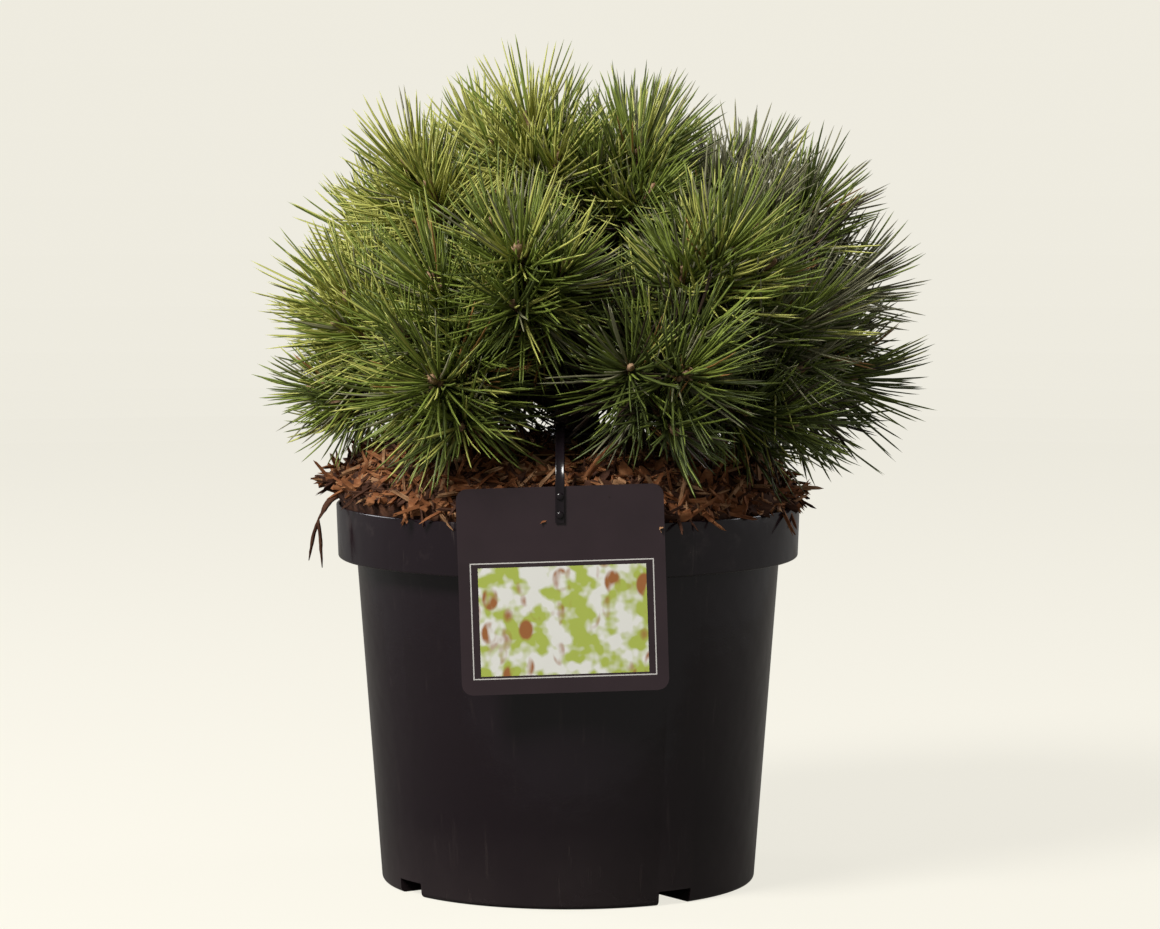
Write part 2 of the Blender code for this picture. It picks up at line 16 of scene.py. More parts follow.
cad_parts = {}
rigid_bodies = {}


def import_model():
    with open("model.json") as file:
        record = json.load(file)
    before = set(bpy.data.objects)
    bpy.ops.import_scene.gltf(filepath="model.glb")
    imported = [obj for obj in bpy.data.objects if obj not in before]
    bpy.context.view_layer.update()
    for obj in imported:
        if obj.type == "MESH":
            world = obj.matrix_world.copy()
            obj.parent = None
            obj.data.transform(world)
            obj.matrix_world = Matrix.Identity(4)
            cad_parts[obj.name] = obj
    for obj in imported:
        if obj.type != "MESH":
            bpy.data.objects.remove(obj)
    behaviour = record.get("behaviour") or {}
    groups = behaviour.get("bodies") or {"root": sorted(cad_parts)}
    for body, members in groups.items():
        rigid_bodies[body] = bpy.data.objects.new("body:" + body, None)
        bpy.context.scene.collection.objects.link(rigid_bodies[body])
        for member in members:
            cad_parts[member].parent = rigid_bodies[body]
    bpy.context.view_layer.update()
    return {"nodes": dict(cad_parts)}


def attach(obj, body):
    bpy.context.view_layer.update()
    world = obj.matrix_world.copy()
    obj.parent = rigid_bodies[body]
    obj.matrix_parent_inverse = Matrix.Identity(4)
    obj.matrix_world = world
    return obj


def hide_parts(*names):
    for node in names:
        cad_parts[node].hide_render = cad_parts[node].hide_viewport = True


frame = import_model()

TOUCH_GAP = 0.0003
UP = Vector((0.0, 0.0, 1.0))
GOLDEN_ANGLE = math.pi * (3 - math.sqrt(5))

# Pot
POT_HEIGHT = 0.213
RIM_RADIUS = 0.130
RIM_BAND_HEIGHT = 0.030
RIM_BAND_TAPER = 0.001
RIM_STEP = 0.0115
BASE_RADIUS = 0.105
POT_WALL = 0.0016
POT_SIDES = 160
EDGE_ROUNDING = 0.0007
BAND_ROUNDING = 0.0013
FOOT_ROUNDING = 0.0030
ARC_STEPS = 5
CHANNEL_COUNT = 4
CHANNEL_BEARING = math.radians(-56)
CHANNEL_WIDTH = 0.021
CHANNEL_HEIGHT = 0.008
CHANNEL_START = 0.040
DRAIN_RADIUS = 0.005
DRAIN_REACHES = (0.062, 0.090)

# Mulch: heaped over the rim, highest on the left, where it also spills over the rim
MIX_EDGE_RISE = 0.0015
MIX_HEAP_RISE = 0.027
MIX_HEAP_POWER = 8.0
MIX_LEFT_RISE = 0.014
SOIL_HEIGHT = POT_HEIGHT + MIX_EDGE_RISE + MIX_HEAP_RISE
SEAT_RADIUS = 0.026
SPILL = 0.006
SPILL_BEARING = math.radians(-88)
LUMPS = ((0.0024, 0.022), (0.0018, 0.009), (0.0008, 0.0035))  # height and size of each
HEAP_RINGS = 44
HEAP_SECTORS = 132
HEAP_DEPTH = 0.016
CHIP_DENSITY = 60_000.0
CHIP_SHAPES = 6

# Trunk
TRUNK_TOP = 0.345
TRUNK_LEAN = Vector((-0.012, 0.004))
TRUNK_FOOT = Vector((0.006, 0.003))
TRUNK_FLARE_RADIUS = 0.0185
TRUNK_NECK_RADIUS = 0.0130
TRUNK_TOP_RADIUS = 0.0085
TRUNK_BEND = 1.4
FLARE_HEIGHT = 0.004
FLARE_LOBES = 5
FLARE_LOBE_DEPTH = 0.10

# Limbs and shoots
BOUGH_RADIUS = 0.0058
SIDE_RADIUS = 0.0042
LIMB_END_RADIUS = 0.0033
LIMB_POINTS = 7
LIMB_PULL = 0.42
BOUGH_RISE = math.radians(24)
BOUGH_RISE_SHARE = 0.75
COLLAR_LENGTH = 0.010
COLLAR_SWELL = 0.35
LEAFY_LENGTH = 0.046
SHOOT_END_RADIUS = 0.0021
SIDE_SHOOTS = 3
SIDE_SHOOT_RADIUS = 0.0024
SIDE_REACH = 0.034
INNER_SHOOTS = 2
BARK_SPACING = 0.0012

# Needles, in pairs round each shoot
NEEDLE_LENGTH = 0.0660
NEEDLE_WIDTH = 0.0016
NEEDLE_DEPTH = 0.0011
NEEDLE_STEPS = (0.0, 0.30, 0.64, 0.90)
NEEDLE_SWELLS = (0.60, 1.0, 0.92, 0.58)
LEADER_PAIRS = 108
SIDE_PAIRS = 54
OLD_PAIRS = 56
INNER_PAIRS = 46
SIDE_LENGTH = 0.82  # shares of the leader's needle length
OLD_LENGTH = 0.88
INNER_LENGTH = 0.74
OLD_START = 0.52
FALLEN_NEEDLES = 70
PAIR_OPENING = math.radians(5)
NEEDLE_LIFT = 0.10
NEEDLE_BOW = 0.065
PIECE_TRIANGLES = 190_000

# Hanging label and its strap
CARD_SIZE = 0.111
CARD_THICKNESS = 0.0008
CARD_CENTRE = Vector((-0.0026, 0.1783))
CARD_TILT = math.radians(1.8)
STRAP_WIDTH = 0.0050
STRAP_THICKNESS = 0.0010
STRAP_ACROSS = -0.0040
STRAP_LOOP_HEIGHT = 0.2525
STRAP_LOOP_RADIUS = 0.0168
STRAP_ARCH_HEIGHT = 0.267
STUD_RADIUS = 0.0021
STUD_DEPTH = 0.0016
STUD_HEIGHTS = (0.2285, 0.2185)

# Camera and studio
CAMERA_PLACE = Vector((0.0067, -2.61, 0.465))
CAMERA_PITCH = math.radians(-5.06)
CAMERA_LENS = 144.9
SENSOR_WIDTH = 36.0
PAPER_GLOW = 0.88
TABLE_DROP = 0.001
TABLE_CORNERS = ((-0.55, -0.23), (0.55, -0.23), (0.75, 1.5), (-0.75, 1.5))
SKY_STRENGTH = 0.20
LIGHTS = {  # place, size, power and colour
    "key": ((-1.5, -1.7, 2.3), 1.0, 125.0, (1.0, 0.985, 0.94)),
    "left": ((-2.4, 0.9, 1.0), 1.2, 22.0, (0.96, 0.96, 1.0)),
    "right": ((2.4, 0.6, 0.9), 1.2, 16.0, (0.94, 0.95, 1.0)),
}
LIGHT_TARGET = Vector((0.0, 0.0, 0.25))
RANDOM_SEED = 20

# One shoot for each needle mass. The bud's place is a bearing from the front (degrees, positive to the
# right), a reach from the pot's axis and a height. The shoot points along its own bearing and rise, and
# spread scales its needles. It grows on the limb `parent` at `start`, a height on the trunk or a share
# of the way along a limb.
Shoot = namedtuple("Shoot", "bearing reach height points rise spread parent start")
SHOOTS = {
    "top_centre": Shoot(-46, 0.029, 0.420, -40, 80, 0.95, "trunk", 0.345),
    "top_right": Shoot(62, 0.045, 0.406, 62, 70, 0.95, "trunk", 0.335),
    "top_back_left": Shoot(-138, 0.070, 0.408, -140, 66, 0.90, "trunk", 0.330),
    "top_back": Shoot(150, 0.074, 0.406, 150, 66, 0.95, "trunk", 0.327),
    "top_left": Shoot(-68, 0.091, 0.397, -72, 60, 0.86, "trunk", 0.321),
    "front_centre": Shoot(-11, 0.130, 0.356, -8, 38, 1.0, "trunk", 0.308),
    "right_upper": Shoot(90, 0.131, 0.373, 88, 46, 0.92, "trunk", 0.314),
    "back_upper_right": Shoot(156, 0.141, 0.362, 155, 42, 0.95, "trunk", 0.308),
    "back_upper_left": Shoot(-141, 0.133, 0.364, -141, 45, 0.95, "trunk", 0.310),
    "left_back_upper": Shoot(-108, 0.112, 0.358, -112, 44, 0.92, "trunk", 0.297),
    "left_front": Shoot(-34, 0.124, 0.338, -34, 50, 0.95, "trunk", 0.290),
    "right_front": Shoot(42, 0.126, 0.358, 38, 54, 1.0, "trunk", 0.297),
    "right_middle": Shoot(92, 0.150, 0.331, 93, 26, 0.92, "trunk", 0.286),
    "back_middle": Shoot(173, 0.148, 0.320, 173, 24, 1.0, "trunk", 0.286),
    "left_foot": Shoot(-30, 0.139, 0.289, -14, 12, 1.0, "trunk", 0.268),
    "right_front_low": Shoot(24, 0.150, 0.294, 24, 8, 1.0, "trunk", 0.272),
    "right_lower": Shoot(96, 0.152, 0.282, 97, 2, 1.0, "trunk", 0.267),
    "back_left": Shoot(-121, 0.140, 0.312, -121, 22, 0.92, "trunk", 0.280),
    "back_foot_right": Shoot(152, 0.156, 0.274, 152, 6, 0.95, "trunk", 0.271),
    "back_foot_left": Shoot(-152, 0.150, 0.274, -152, 6, 0.95, "trunk", 0.268),
    "top_back_right": Shoot(118, 0.115, 0.391, 116, 54, 0.86, "right_upper", 0.30),
    "left_upper": Shoot(-71, 0.128, 0.328, -75, 38, 0.95, "left_foot", 0.66),
    "left_lower": Shoot(-80, 0.135, 0.278, -92, 2, 0.68, "left_foot", 0.45),
    "right_front_mid": Shoot(64, 0.138, 0.316, 62, 26, 0.95, "right_middle", 0.26),
    "right_foot": Shoot(62, 0.130, 0.264, 64, -10, 0.90, "right_lower", 0.34),
    "back_right": Shoot(126, 0.156, 0.324, 126, 26, 0.95, "right_middle", 0.34),
}


# Finishes


class Socket:
    """A node's output that can be reckoned with: an operation adds its Math node to the same tree."""

    def __init__(self, graph, socket):
        self.graph = graph
        self.socket = socket

    def reckon(self, operation, *values):
        return self.graph.add("ShaderNodeMath", {"operation": operation}, dict(enumerate(values)))

    def __add__(self, other):
        return self.reckon("ADD", self, other)

    def __sub__(self, other):
        return self.reckon("SUBTRACT", self, other)

    def __rsub__(self, other):
        return self.reckon("SUBTRACT", other, self)

    def __mul__(self, other):
        return self.reckon("MULTIPLY", self, other)

    def __gt__(self, other):
        return self.reckon("GREATER_THAN", self, other)

    def __lt__(self, other):
        return self.reckon("LESS_THAN", self, other)

    def __abs__(self):
        return self.reckon("ABSOLUTE", self)

    __radd__ = __add__
    __rmul__ = __mul__


class Graph:
    """A node tree, of a material or of geometry, that is filled through one method."""

    def __init__(self, tree):
        self.tree = tree

    def add(self, kind, settings=None, inputs=None, out=0):
        """Adds a node, sets it, fills or links its inputs and returns one of its outputs."""
        node = self.tree.nodes.new(kind)
        for key, value in (settings or {}).items():
            if key == "stops":
                self.set_stops(node.color_ramp, value)
            else:
                setattr(node, key, value)
        for key, value in (inputs or {}).items():
            self.feed(node.inputs[key], value)
        return Socket(self, node.outputs[out])

    def feed(self, socket, value):
        if isinstance(value, Socket):
            self.tree.links.new(value.socket, socket)
        else:
            socket.default_value = value

    @staticmethod
    def set_stops(ramp, stops):
        while len(ramp.elements) < len(stops):
            ramp.elements.new(0.5)
        for element, (place, colour) in zip(ramp.elements, stops):
            element.position = place
            element.color = (*colour, 1.0)

    def mix(self, share, first, second):
        """A colour between two, each a socket or three numbers."""
        first, second = ((*c, 1.0) if isinstance(c, tuple) else c for c in (first, second))
        inputs = {0: share, 6: first, 7: second}
        return self.add("ShaderNodeMix", {"data_type": "RGBA"}, inputs, out=2)

    def places(self, scale=(1.0, 1.0, 1.0)):
        """Object coordinates, stretched."""
        raw = self.add("ShaderNodeTexCoord", out=3)
        return self.add("ShaderNodeMapping", inputs={"Vector": raw, "Scale": scale})

    def grain(self, size, detail=4.0, roughness=0.55, stretch=(1.0, 1.0, 1.0)):
        """Noise from 0 to 1 with features about as large as size."""
        inputs = {"Vector": self.places(stretch), "Scale": 1 / size}
        inputs |= {"Detail": detail, "Roughness": roughness}
        return self.add("ShaderNodeTexNoise", inputs=inputs)

    def axis(self, index):
        """One of the object coordinates."""
        return self.add("ShaderNodeSeparateXYZ", inputs={0: self.places()}, out=index)

    def ramp(self, value, *stops):
        return self.add("ShaderNodeValToRGB", {"stops": stops}, {"Fac": value})

    def level(self, value, low, high, to_low=0.0, to_high=1.0):
        """value from low to high, carried over to another range and held in it."""
        inputs = {0: value, 1: low, 2: high, 3: to_low, 4: to_high}
        return self.add("ShaderNodeMapRange", inputs=inputs)

    def bump(self, height, depth, normal=None):
        inputs = {"Height": height, "Distance": depth, "Strength": 1.0}
        if normal:
            inputs["Normal"] = normal
        return self.add("ShaderNodeBump", inputs=inputs)


def finish_named(name, colour=None, roughness=0.5, specular=0.5, coat=0.0):
    """A new opaque material, its graph and a function that feeds its shader's sockets."""
    made = bpy.data.materials.new(name)
    made.use_nodes = True
    shader = made.node_tree.nodes["Principled BSDF"]
    graph = Graph(made.node_tree)
    shader.inputs["Roughness"].default_value = roughness
    shader.inputs["Specular IOR Level"].default_value = specular
    shader.inputs["Coat Weight"].default_value = coat
    if colour:
        shader.inputs["Base Color"].default_value = (*colour, 1.0)

    def feed(**sockets):
        for key, value in sockets.items():
            graph.feed(shader.inputs[key.replace("_", " ").title()], value)

    return made, graph, feed


def pot_finish():
    """Glossy black plastic with a plum tint, scuffed near the rim and dusty at the foot."""
    made, graph, feed = finish_named("black_plastic", specular=0.62)
    height = graph.axis(2)
    cloud = graph.grain(0.045, 5.0)
    scratches = graph.level(graph.grain(0.004, 3.0, 0.6, (1.0, 1.0, 0.06)), 0.62, 0.74)
    rubs = graph.level(graph.grain(0.02, 6.0, 0.7), 0.56, 0.72)
    near_rim = graph.level(height, 0.165, 0.205)
    near_foot = graph.level(height, 0.045, 0.0)
    wear = scratches * (0.35 * near_rim + 0.15) + rubs * near_rim * 0.30 + near_foot * cloud * 0.35
    colour = graph.mix(wear, (0.0100, 0.0055, 0.0085), (0.085, 0.066, 0.062))
    ripple = graph.bump(graph.grain(0.030, 2.0), 0.0007)
    feed(
        base_color=colour,
        roughness=0.10 + 0.10 * cloud + 0.40 * wear,
        normal=graph.bump(graph.grain(0.0012, 2.0), 0.00003, ripple),
    )
    return made


def bark_finish(name, dark, light, size, depth):
    """Rough bark, pale on its plates and dark in its cracks."""
    made, graph, feed = finish_named(name, roughness=0.85, specular=0.25)
    cloud = graph.grain(size * 5, 3.0)
    fine = graph.grain(size, 6.0, 0.65)
    colour = graph.mix(graph.level(fine * 0.65 + cloud * 0.35, 0.40, 0.62), dark, light)
    feed(base_color=colour, roughness=0.92 - 0.22 * fine, normal=graph.bump(fine, depth))
    return made


def chip_finish(name, dark, middle, light, size=0.004):
    """Shredded bark: streaked along the grain, with pale torn places."""
    made, graph, feed = finish_named(name, roughness=0.85, specular=0.2)
    cloud = graph.grain(size * 4, 3.0)
    streak = graph.grain(size, 5.0, 0.65, (0.35, 1.0, 1.0))
    blend = graph.level(streak * 0.6 + cloud * 0.4, 0.30, 0.70)
    colour = graph.ramp(blend, (0.0, dark), (0.5, middle), (1.0, light))
    feed(base_color=colour, roughness=0.95 - 0.2 * streak, normal=graph.bump(streak, 0.0006))
    return made


def card_finish():
    """A dark printed card with a thin pale frame round a panel of pale and lime leaf shapes."""
    made, graph, feed = finish_named("printed_card", specular=0.5, coat=0.25)
    across = graph.axis(0) - CARD_CENTRE.x
    rise = graph.axis(2) - CARD_CENTRE.y
    u = across * math.cos(CARD_TILT) + rise * math.sin(CARD_TILT)
    v = rise * math.cos(CARD_TILT) - across * math.sin(CARD_TILT)

    def window(half_width, low, high):
        return (abs(u) < half_width) * (v > low) * (v < high)

    frame_line = window(0.0492, -0.0472, 0.0155) - window(0.0486, -0.0466, 0.0149)
    panel = window(0.0450, -0.0455, 0.0128)
    cells = {"Vector": graph.places((1.0, 1.0, 0.7)), "Scale": 105.0, "Randomness": 0.85}
    spots = graph.level(graph.add("ShaderNodeTexVoronoi", inputs=cells), 0.52, 0.40)
    lime = graph.level(graph.grain(0.012, 2.0), 0.44, 0.56)
    ground = graph.mix(lime, (0.80, 0.80, 0.76), (0.42, 0.50, 0.09))
    leaves = graph.level(graph.grain(0.016, 3.0, 0.5, (1.0, 1.0, 0.5)), 0.50, 0.58)
    picture = graph.mix(spots * leaves, ground, (0.34, 0.13, 0.04))
    card = graph.mix(graph.grain(0.03, 3.0), (0.020, 0.012, 0.015), (0.036, 0.021, 0.026))
    framed = graph.mix(frame_line, card, (0.62, 0.60, 0.58))
    feed(
        base_color=graph.mix(panel, framed, picture),
        roughness=0.30 + 0.12 * graph.grain(0.02, 3.0),
        normal=graph.bump(graph.grain(0.03, 2.0), 0.0004),
    )
    return made


# Meshes


def new_mesh(name, points, faces):
    made = bpy.data.meshes.new(name)
    made.from_pydata(points, [], faces)
    made.update()
    return made


def placed(name, data):
    """A new object in the scene."""
    made = bpy.data.objects.new(name, data)
    bpy.context.scene.collection.objects.link(made)
    return made


def circle(radius, height, sides):
    return [heading(math.tau * side / sides, 0.0) * radius + UP * height for side in range(sides)]


def ring_faces(sides, rings):
    """Quads that join each ring of points to the next."""
    faces = []
    for first in range(0, rings * sides, sides):
        for step in range(sides):
            a, b = first + step, first + (step + 1) % sides
            faces.append((a, b, b + sides, a + sides))
    return faces


class Batch:
    """Points and faces gathered from many small shapes into one mesh."""

    def __init__(self):
        self.points = []
        self.faces = []

    def add(self, points, faces):
        first = len(self.points)
        self.points.extend(points)
        self.faces.extend([tuple(first + corner for corner in face) for face in faces])

    def mesh(self, name):
        return new_mesh(name, self.points, self.faces)


def add_piece(name, mesh, finish, replaced=(), sharp=None):
    """A finished piece on the plant: smooth, or with sharp edges past an angle."""
    made = placed(name, mesh)
    mesh.materials.clear()
    mesh.materials.append(finish)
    mesh.shade_smooth()
    if sharp:
        mesh.set_sharp_from_angle(angle=sharp)
    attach(made, "root")
    if replaced:
        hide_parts(*replaced)
    return made


def heading(bearing, rise):
    """A unit vector along a bearing from the front and a rise above level, both in radians."""
    flat = math.cos(rise)
    return Vector((math.sin(bearing) * flat, -math.cos(bearing) * flat, math.sin(rise)))


def bezier(points, share):
    a, b, c, d = points
    back = 1 - share
    return back**3 * a + 3 * back**2 * share * b + 3 * back * share**2 * c + share**3 * d


def curve(hull, steps):
    return [bezier(hull, index / steps) for index in range(steps + 1)]


def tilted(along, turn, opening):
    """A unit vector that opens from along by an angle, turned round it by another."""
    side = Matrix.Rotation(turn, 3, along) @ along.orthogonal().normalized()
    return (along * math.cos(opening) + side * math.sin(opening)).normalized()


def place_on(path, share):
    """A place on a path of points and its direction there."""
    reach = min(max(share, 0.0), 0.9999) * (len(path) - 1)
    before = int(reach)
    along = (path[before + 1] - path[before]).normalized()
    return path[before].lerp(path[before + 1], reach - before), along


def path_length(path):
    return sum((b - a).length for a, b in zip(path, path[1:]))


def relief_tube(path, radius_at, relief, sides, spacing):
    """A closed tube along a path; relief(turn, run, place) is added to radius_at(share)."""
    length = path_length(path)
    rings = max(int(length / spacing), 3)
    side = path[1] - path[0]
    side = side.orthogonal().normalized()
    points = []
    for ring in range(rings + 1):
        share = ring / rings
        place, along = place_on(path, share)
        side = (side - along * side.dot(along)).normalized()
        other = along.cross(side)
        for step in range(sides):
            turn = math.tau * step / sides
            out = side * math.cos(turn) + other * math.sin(turn)
            radius = radius_at(share)
            points.append(place + out * (radius + relief(turn, share * length, place + out * radius)))
    faces = ring_faces(sides, rings)
    faces.append(tuple(reversed(range(sides))))
    faces.append(tuple(range(rings * sides, (rings + 1) * sides)))
    return points, faces


def scale_relief(depth, size):
    """The pegs and scars left on a pine's wood by its fallen needles, in spiral rows."""

    def relief(turn, run, place):
        rows = math.cos(3 * turn + run / size) * math.cos(5 * turn - run / size)
        return depth * (max(rows, 0.0) ** 1.5 - 0.3) + depth * 0.6 * noise.noise(place / (2 * size))

    return relief


def bark_relief(turn, run, place):
    """Deep cracks that run up a trunk between broken plates."""
    stretched = Vector((place.x, place.y, place.z * 0.35))
    cracks = 1 - 2 * abs(noise.noise(stretched / 0.0050))
    plates = noise.noise(place / 0.0030)
    return 0.0011 * cracks - 0.0006 + 0.0005 * plates


# Trunk, boughs and twigs


def trunk_place(height):
    """The middle of the trunk at a height above the ground."""
    share = (height - SOIL_HEIGHT) / (TRUNK_TOP - SOIL_HEIGHT)
    drift = TRUNK_LEAN * max(share, 0.0) ** TRUNK_BEND
    return Vector((TRUNK_FOOT.x + drift.x, TRUNK_FOOT.y + drift.y, height))


def trunk_radius(height):
    share = (height - SOIL_HEIGHT) / (TRUNK_TOP - SOIL_HEIGHT)
    even = TRUNK_NECK_RADIUS + (TRUNK_TOP_RADIUS - TRUNK_NECK_RADIUS) * share
    flare = TRUNK_FLARE_RADIUS - TRUNK_NECK_RADIUS
    return even + flare * math.exp((SOIL_HEIGHT - height) / FLARE_HEIGHT)


def make_trunk(finish):
    steps = 24
    rise = TRUNK_TOP - SOIL_HEIGHT
    path = [trunk_place(SOIL_HEIGHT + rise * step / steps) for step in range(steps + 1)]

    def relief(turn, run, place):
        fade = math.exp(-run / (2 * FLARE_HEIGHT))
        lobe = math.cos(FLARE_LOBES * turn) * FLARE_LOBE_DEPTH * TRUNK_FLARE_RADIUS * fade
        return bark_relief(turn, run, place) + lobe

    def radius_at(share):
        return trunk_radius(SOIL_HEIGHT + rise * share)

    tube = relief_tube(path, radius_at, relief, 56, BARK_SPACING)
    add_piece("trunk_bark", new_mesh("trunk_bark", *tube), finish, ["trunk"])


def shoot_bud(shoot):
    bearing = math.radians(shoot.bearing)
    return Vector((math.sin(bearing) * shoot.reach, -math.cos(bearing) * shoot.reach, shoot.height))


def shoot_axis(shoot):
    return heading(math.radians(shoot.points), math.radians(shoot.rise))


def limb_path(shoot, paths):
    """A smooth limb from its parent to where it enters its needles."""
    axis = shoot_axis(shoot)
    end = shoot_bud(shoot) - axis * LEAFY_LENGTH * shoot.spread
    if shoot.parent == "trunk":
        start = trunk_place(shoot.start)
        out = math.atan2(end.x - start.x, start.y - end.y)
        leave = heading(out, max(BOUGH_RISE, math.radians(shoot.rise) * BOUGH_RISE_SHARE))
    else:
        start, along = place_on(paths[shoot.parent], shoot.start)
        leave = (along + (end - start).normalized()).normalized()
    pull = (end - start).length * LIMB_PULL
    hull = (start, start + leave * pull, end - axis * pull, end)
    return curve(hull, LIMB_POINTS - 1)


def smoothed(path, count=20):
    """A rounder path through the same few points."""
    padded = [2 * path[0] - path[1], *path, 2 * path[-1] - path[-2]]
    found = []
    for index in range(count + 1):
        reach = min(index / count * (len(path) - 1), len(path) - 1 - 1e-6)
        before = int(reach)
        a, b, c, d = padded[before : before + 4]
        t = reach - before
        bend = 2 * b + (c - a) * t + (2 * a - 5 * b + 4 * c - d) * t * t
        found.append(0.5 * (bend + (3 * b - a - 3 * c + d) * t**3))
    return found


def make_boughs(paths, finish):
    """Every limb up to its needles, swollen where it leaves its parent."""
    batch = Batch()
    for name, shoot in SHOOTS.items():
        thick = BOUGH_RADIUS if shoot.parent == "trunk" else SIDE_RADIUS
        path = smoothed(paths[name])
        length = path_length(path)

        def radius_at(share, thick=thick, length=length):
            collar = 1 + COLLAR_SWELL * math.exp(-share * length / COLLAR_LENGTH)
            return (thick + (LIMB_END_RADIUS - thick) * share) * collar

        batch.add(*relief_tube(path, radius_at, scale_relief(0.0007, 0.0016), 16, BARK_SPACING))
    nodes = [f"bough_{name}" for name in SHOOTS]
    add_piece("bough_bark", batch.mesh("bough_bark"), finish, nodes)


def make_twigs(sprays, finish):
    """The young wood that carries the needles."""
    batch = Batch()
    for spray in sprays:
        thick = spray.radius

        def radius_at(share, thick=thick):
            return thick + (SHOOT_END_RADIUS * 0.8 - thick) * share

        path = smoothed(spray.path, 8)
        batch.add(*relief_tube(path, radius_at, scale_relief(0.0004, 0.0012), 9, 0.0016))
    add_piece("twigs", batch.mesh("twigs"), finish)


# Needles and buds

Spray = namedtuple("Spray", "path radius pairs length openings tone bud")

# Chances of each neighbouring tone within a spray
TONES = ("fresh", "middle", "deep", "grey", "shaded", "old")
TONE_BLENDS = {
    "fresh": (0.62, 0.30, 0.03, 0.05, 0.0, 0.0),
    "middle": (0.22, 0.50, 0.20, 0.07, 0.0, 0.01),
    "deep": (0.03, 0.27, 0.52, 0.08, 0.09, 0.01),
    "grey": (0.03, 0.20, 0.20, 0.52, 0.04, 0.01),
    "shaded": (0.0, 0.05, 0.38, 0.06, 0.46, 0.05),
}
# The first four tones are one green with painted light and shade: the first is painted light, middle
# lies between, deep is painted shade and grey is painted shade with a pale painted back light. Shaded
# is the darkest painted shade, mostly on the older and inner needles, and old is the real brown of dead
# needles.
NEEDLE_COLOURS = {
    "fresh": (0.470, 0.480, 0.120),
    "middle": (0.200, 0.255, 0.045),
    "deep": (0.085, 0.110, 0.024),
    "grey": (0.230, 0.225, 0.130),
    "shaded": (0.036, 0.023, 0.015),
    "old": (0.360, 0.185, 0.060),
}
YOUNG_OPENINGS = (math.radians(82), math.radians(20))
SIDE_OPENINGS = (math.radians(70), math.radians(22))
OLD_OPENINGS = (math.radians(88), math.radians(58))


def shoot_tone(shoot, rng):
    """A tone of painted light and shade: brightest where the key light falls, high at the left front,
    greyer with painted back light high on the far right, and darker with painted shade low down, to the
    right and at the back.
    """
    place = shoot_bud(shoot)
    light = (place.z - 0.30) * 7 - place.x * 3.2 - place.y * 1.0 + rng.uniform(-0.25, 0.25)
    if place.x > 0.095 and place.z > 0.30:
        return "grey"
    if light > 0.60:
        return "fresh"
    if light > 0.05:
        return "middle"
    return "deep"


def grow_sprays(paths, rng):
    """The branching rule: each limb ends in a leader and a whorl of side shoots, over older needles."""
    sprays = []
    for name, shoot in SHOOTS.items():
        axis = shoot_axis(shoot)
        bud = shoot_bud(shoot)
        limb = paths[name]
        whorl = limb[-1]
        tone = shoot_tone(shoot, rng)
        size = shoot.spread
        leader = [whorl.lerp(bud, step / 4) for step in range(5)]
        length = NEEDLE_LENGTH * size
        pairs = int(LEADER_PAIRS * size)
        sprays.append(Spray(leader, LIMB_END_RADIUS, pairs, length, YOUNG_OPENINGS, tone, 1.0))
        roll = rng.uniform(0.0, math.tau)
        for index in range(SIDE_SHOOTS):
            turn = roll + index * math.tau / SIDE_SHOOTS + rng.uniform(-0.4, 0.4)
            out = tilted(axis, turn, rng.uniform(0.75, 1.0))
            reach = SIDE_REACH * size * rng.uniform(0.8, 1.1)
            hull = (
                whorl,
                whorl + out * reach * 0.45,
                whorl + out * reach * 0.8 + axis * reach * 0.1,
                whorl + out * reach + axis * reach * 0.45,
            )
            side, pairs, reach = curve(hull, 5), int(SIDE_PAIRS * size), length * SIDE_LENGTH
            sprays.append(Spray(side, SIDE_SHOOT_RADIUS, pairs, reach, SIDE_OPENINGS, tone, 0.7))
        old = [place_on(limb, OLD_START + 0.48 * step / 5)[0] for step in range(6)]
        pairs = int(OLD_PAIRS * size)
        sprays.append(Spray(old, 0.0, pairs, length * OLD_LENGTH, OLD_OPENINGS, "shaded", 0.0))
        if shoot.parent != "trunk":
            continue
        for _ in range(INNER_SHOOTS):
            root, along = place_on(limb, rng.uniform(0.40, 0.75))
            out = tilted(along, rng.uniform(0.0, math.tau), rng.uniform(0.7, 1.1))
            out = (out + UP * 0.25).normalized()
            reach = rng.uniform(0.020, 0.032)
            inner = [root + out * reach * step / 4 + UP * reach * 0.03 * step for step in range(5)]
            needles = (INNER_PAIRS, length * INNER_LENGTH, SIDE_OPENINGS, "shaded")
            sprays.append(Spray(inner, SHOOT_END_RADIUS, *needles, 0.6))
    return sprays


def mix_height(across, deep):
    """Height of the heaped mulch, without its lumps."""
    reach = math.hypot(across, deep)
    share = min(reach / (RIM_RADIUS - POT_WALL), 1.0)
    left = MIX_LEFT_RISE * max(-across - SEAT_RADIUS, 0.0) / RIM_RADIUS
    return POT_HEIGHT + MIX_EDGE_RISE + MIX_HEAP_RISE * (1 - share**MIX_HEAP_POWER) + left


def in_the_way(place):
    """Whether a needle's tip would lie in the mulch, the pot, or the label and its strap."""
    reach = math.hypot(place.x, place.y)
    if reach < RIM_RADIUS + 0.004 and place.z < mix_height(place.x, place.y) + 0.004:
        return True
    behind_card = abs(place.x - CARD_CENTRE.x) < CARD_SIZE / 2 + 0.004 and place.y < -0.10
    return behind_card and place.z < CARD_CENTRE.y + CARD_SIZE / 2 + 0.006


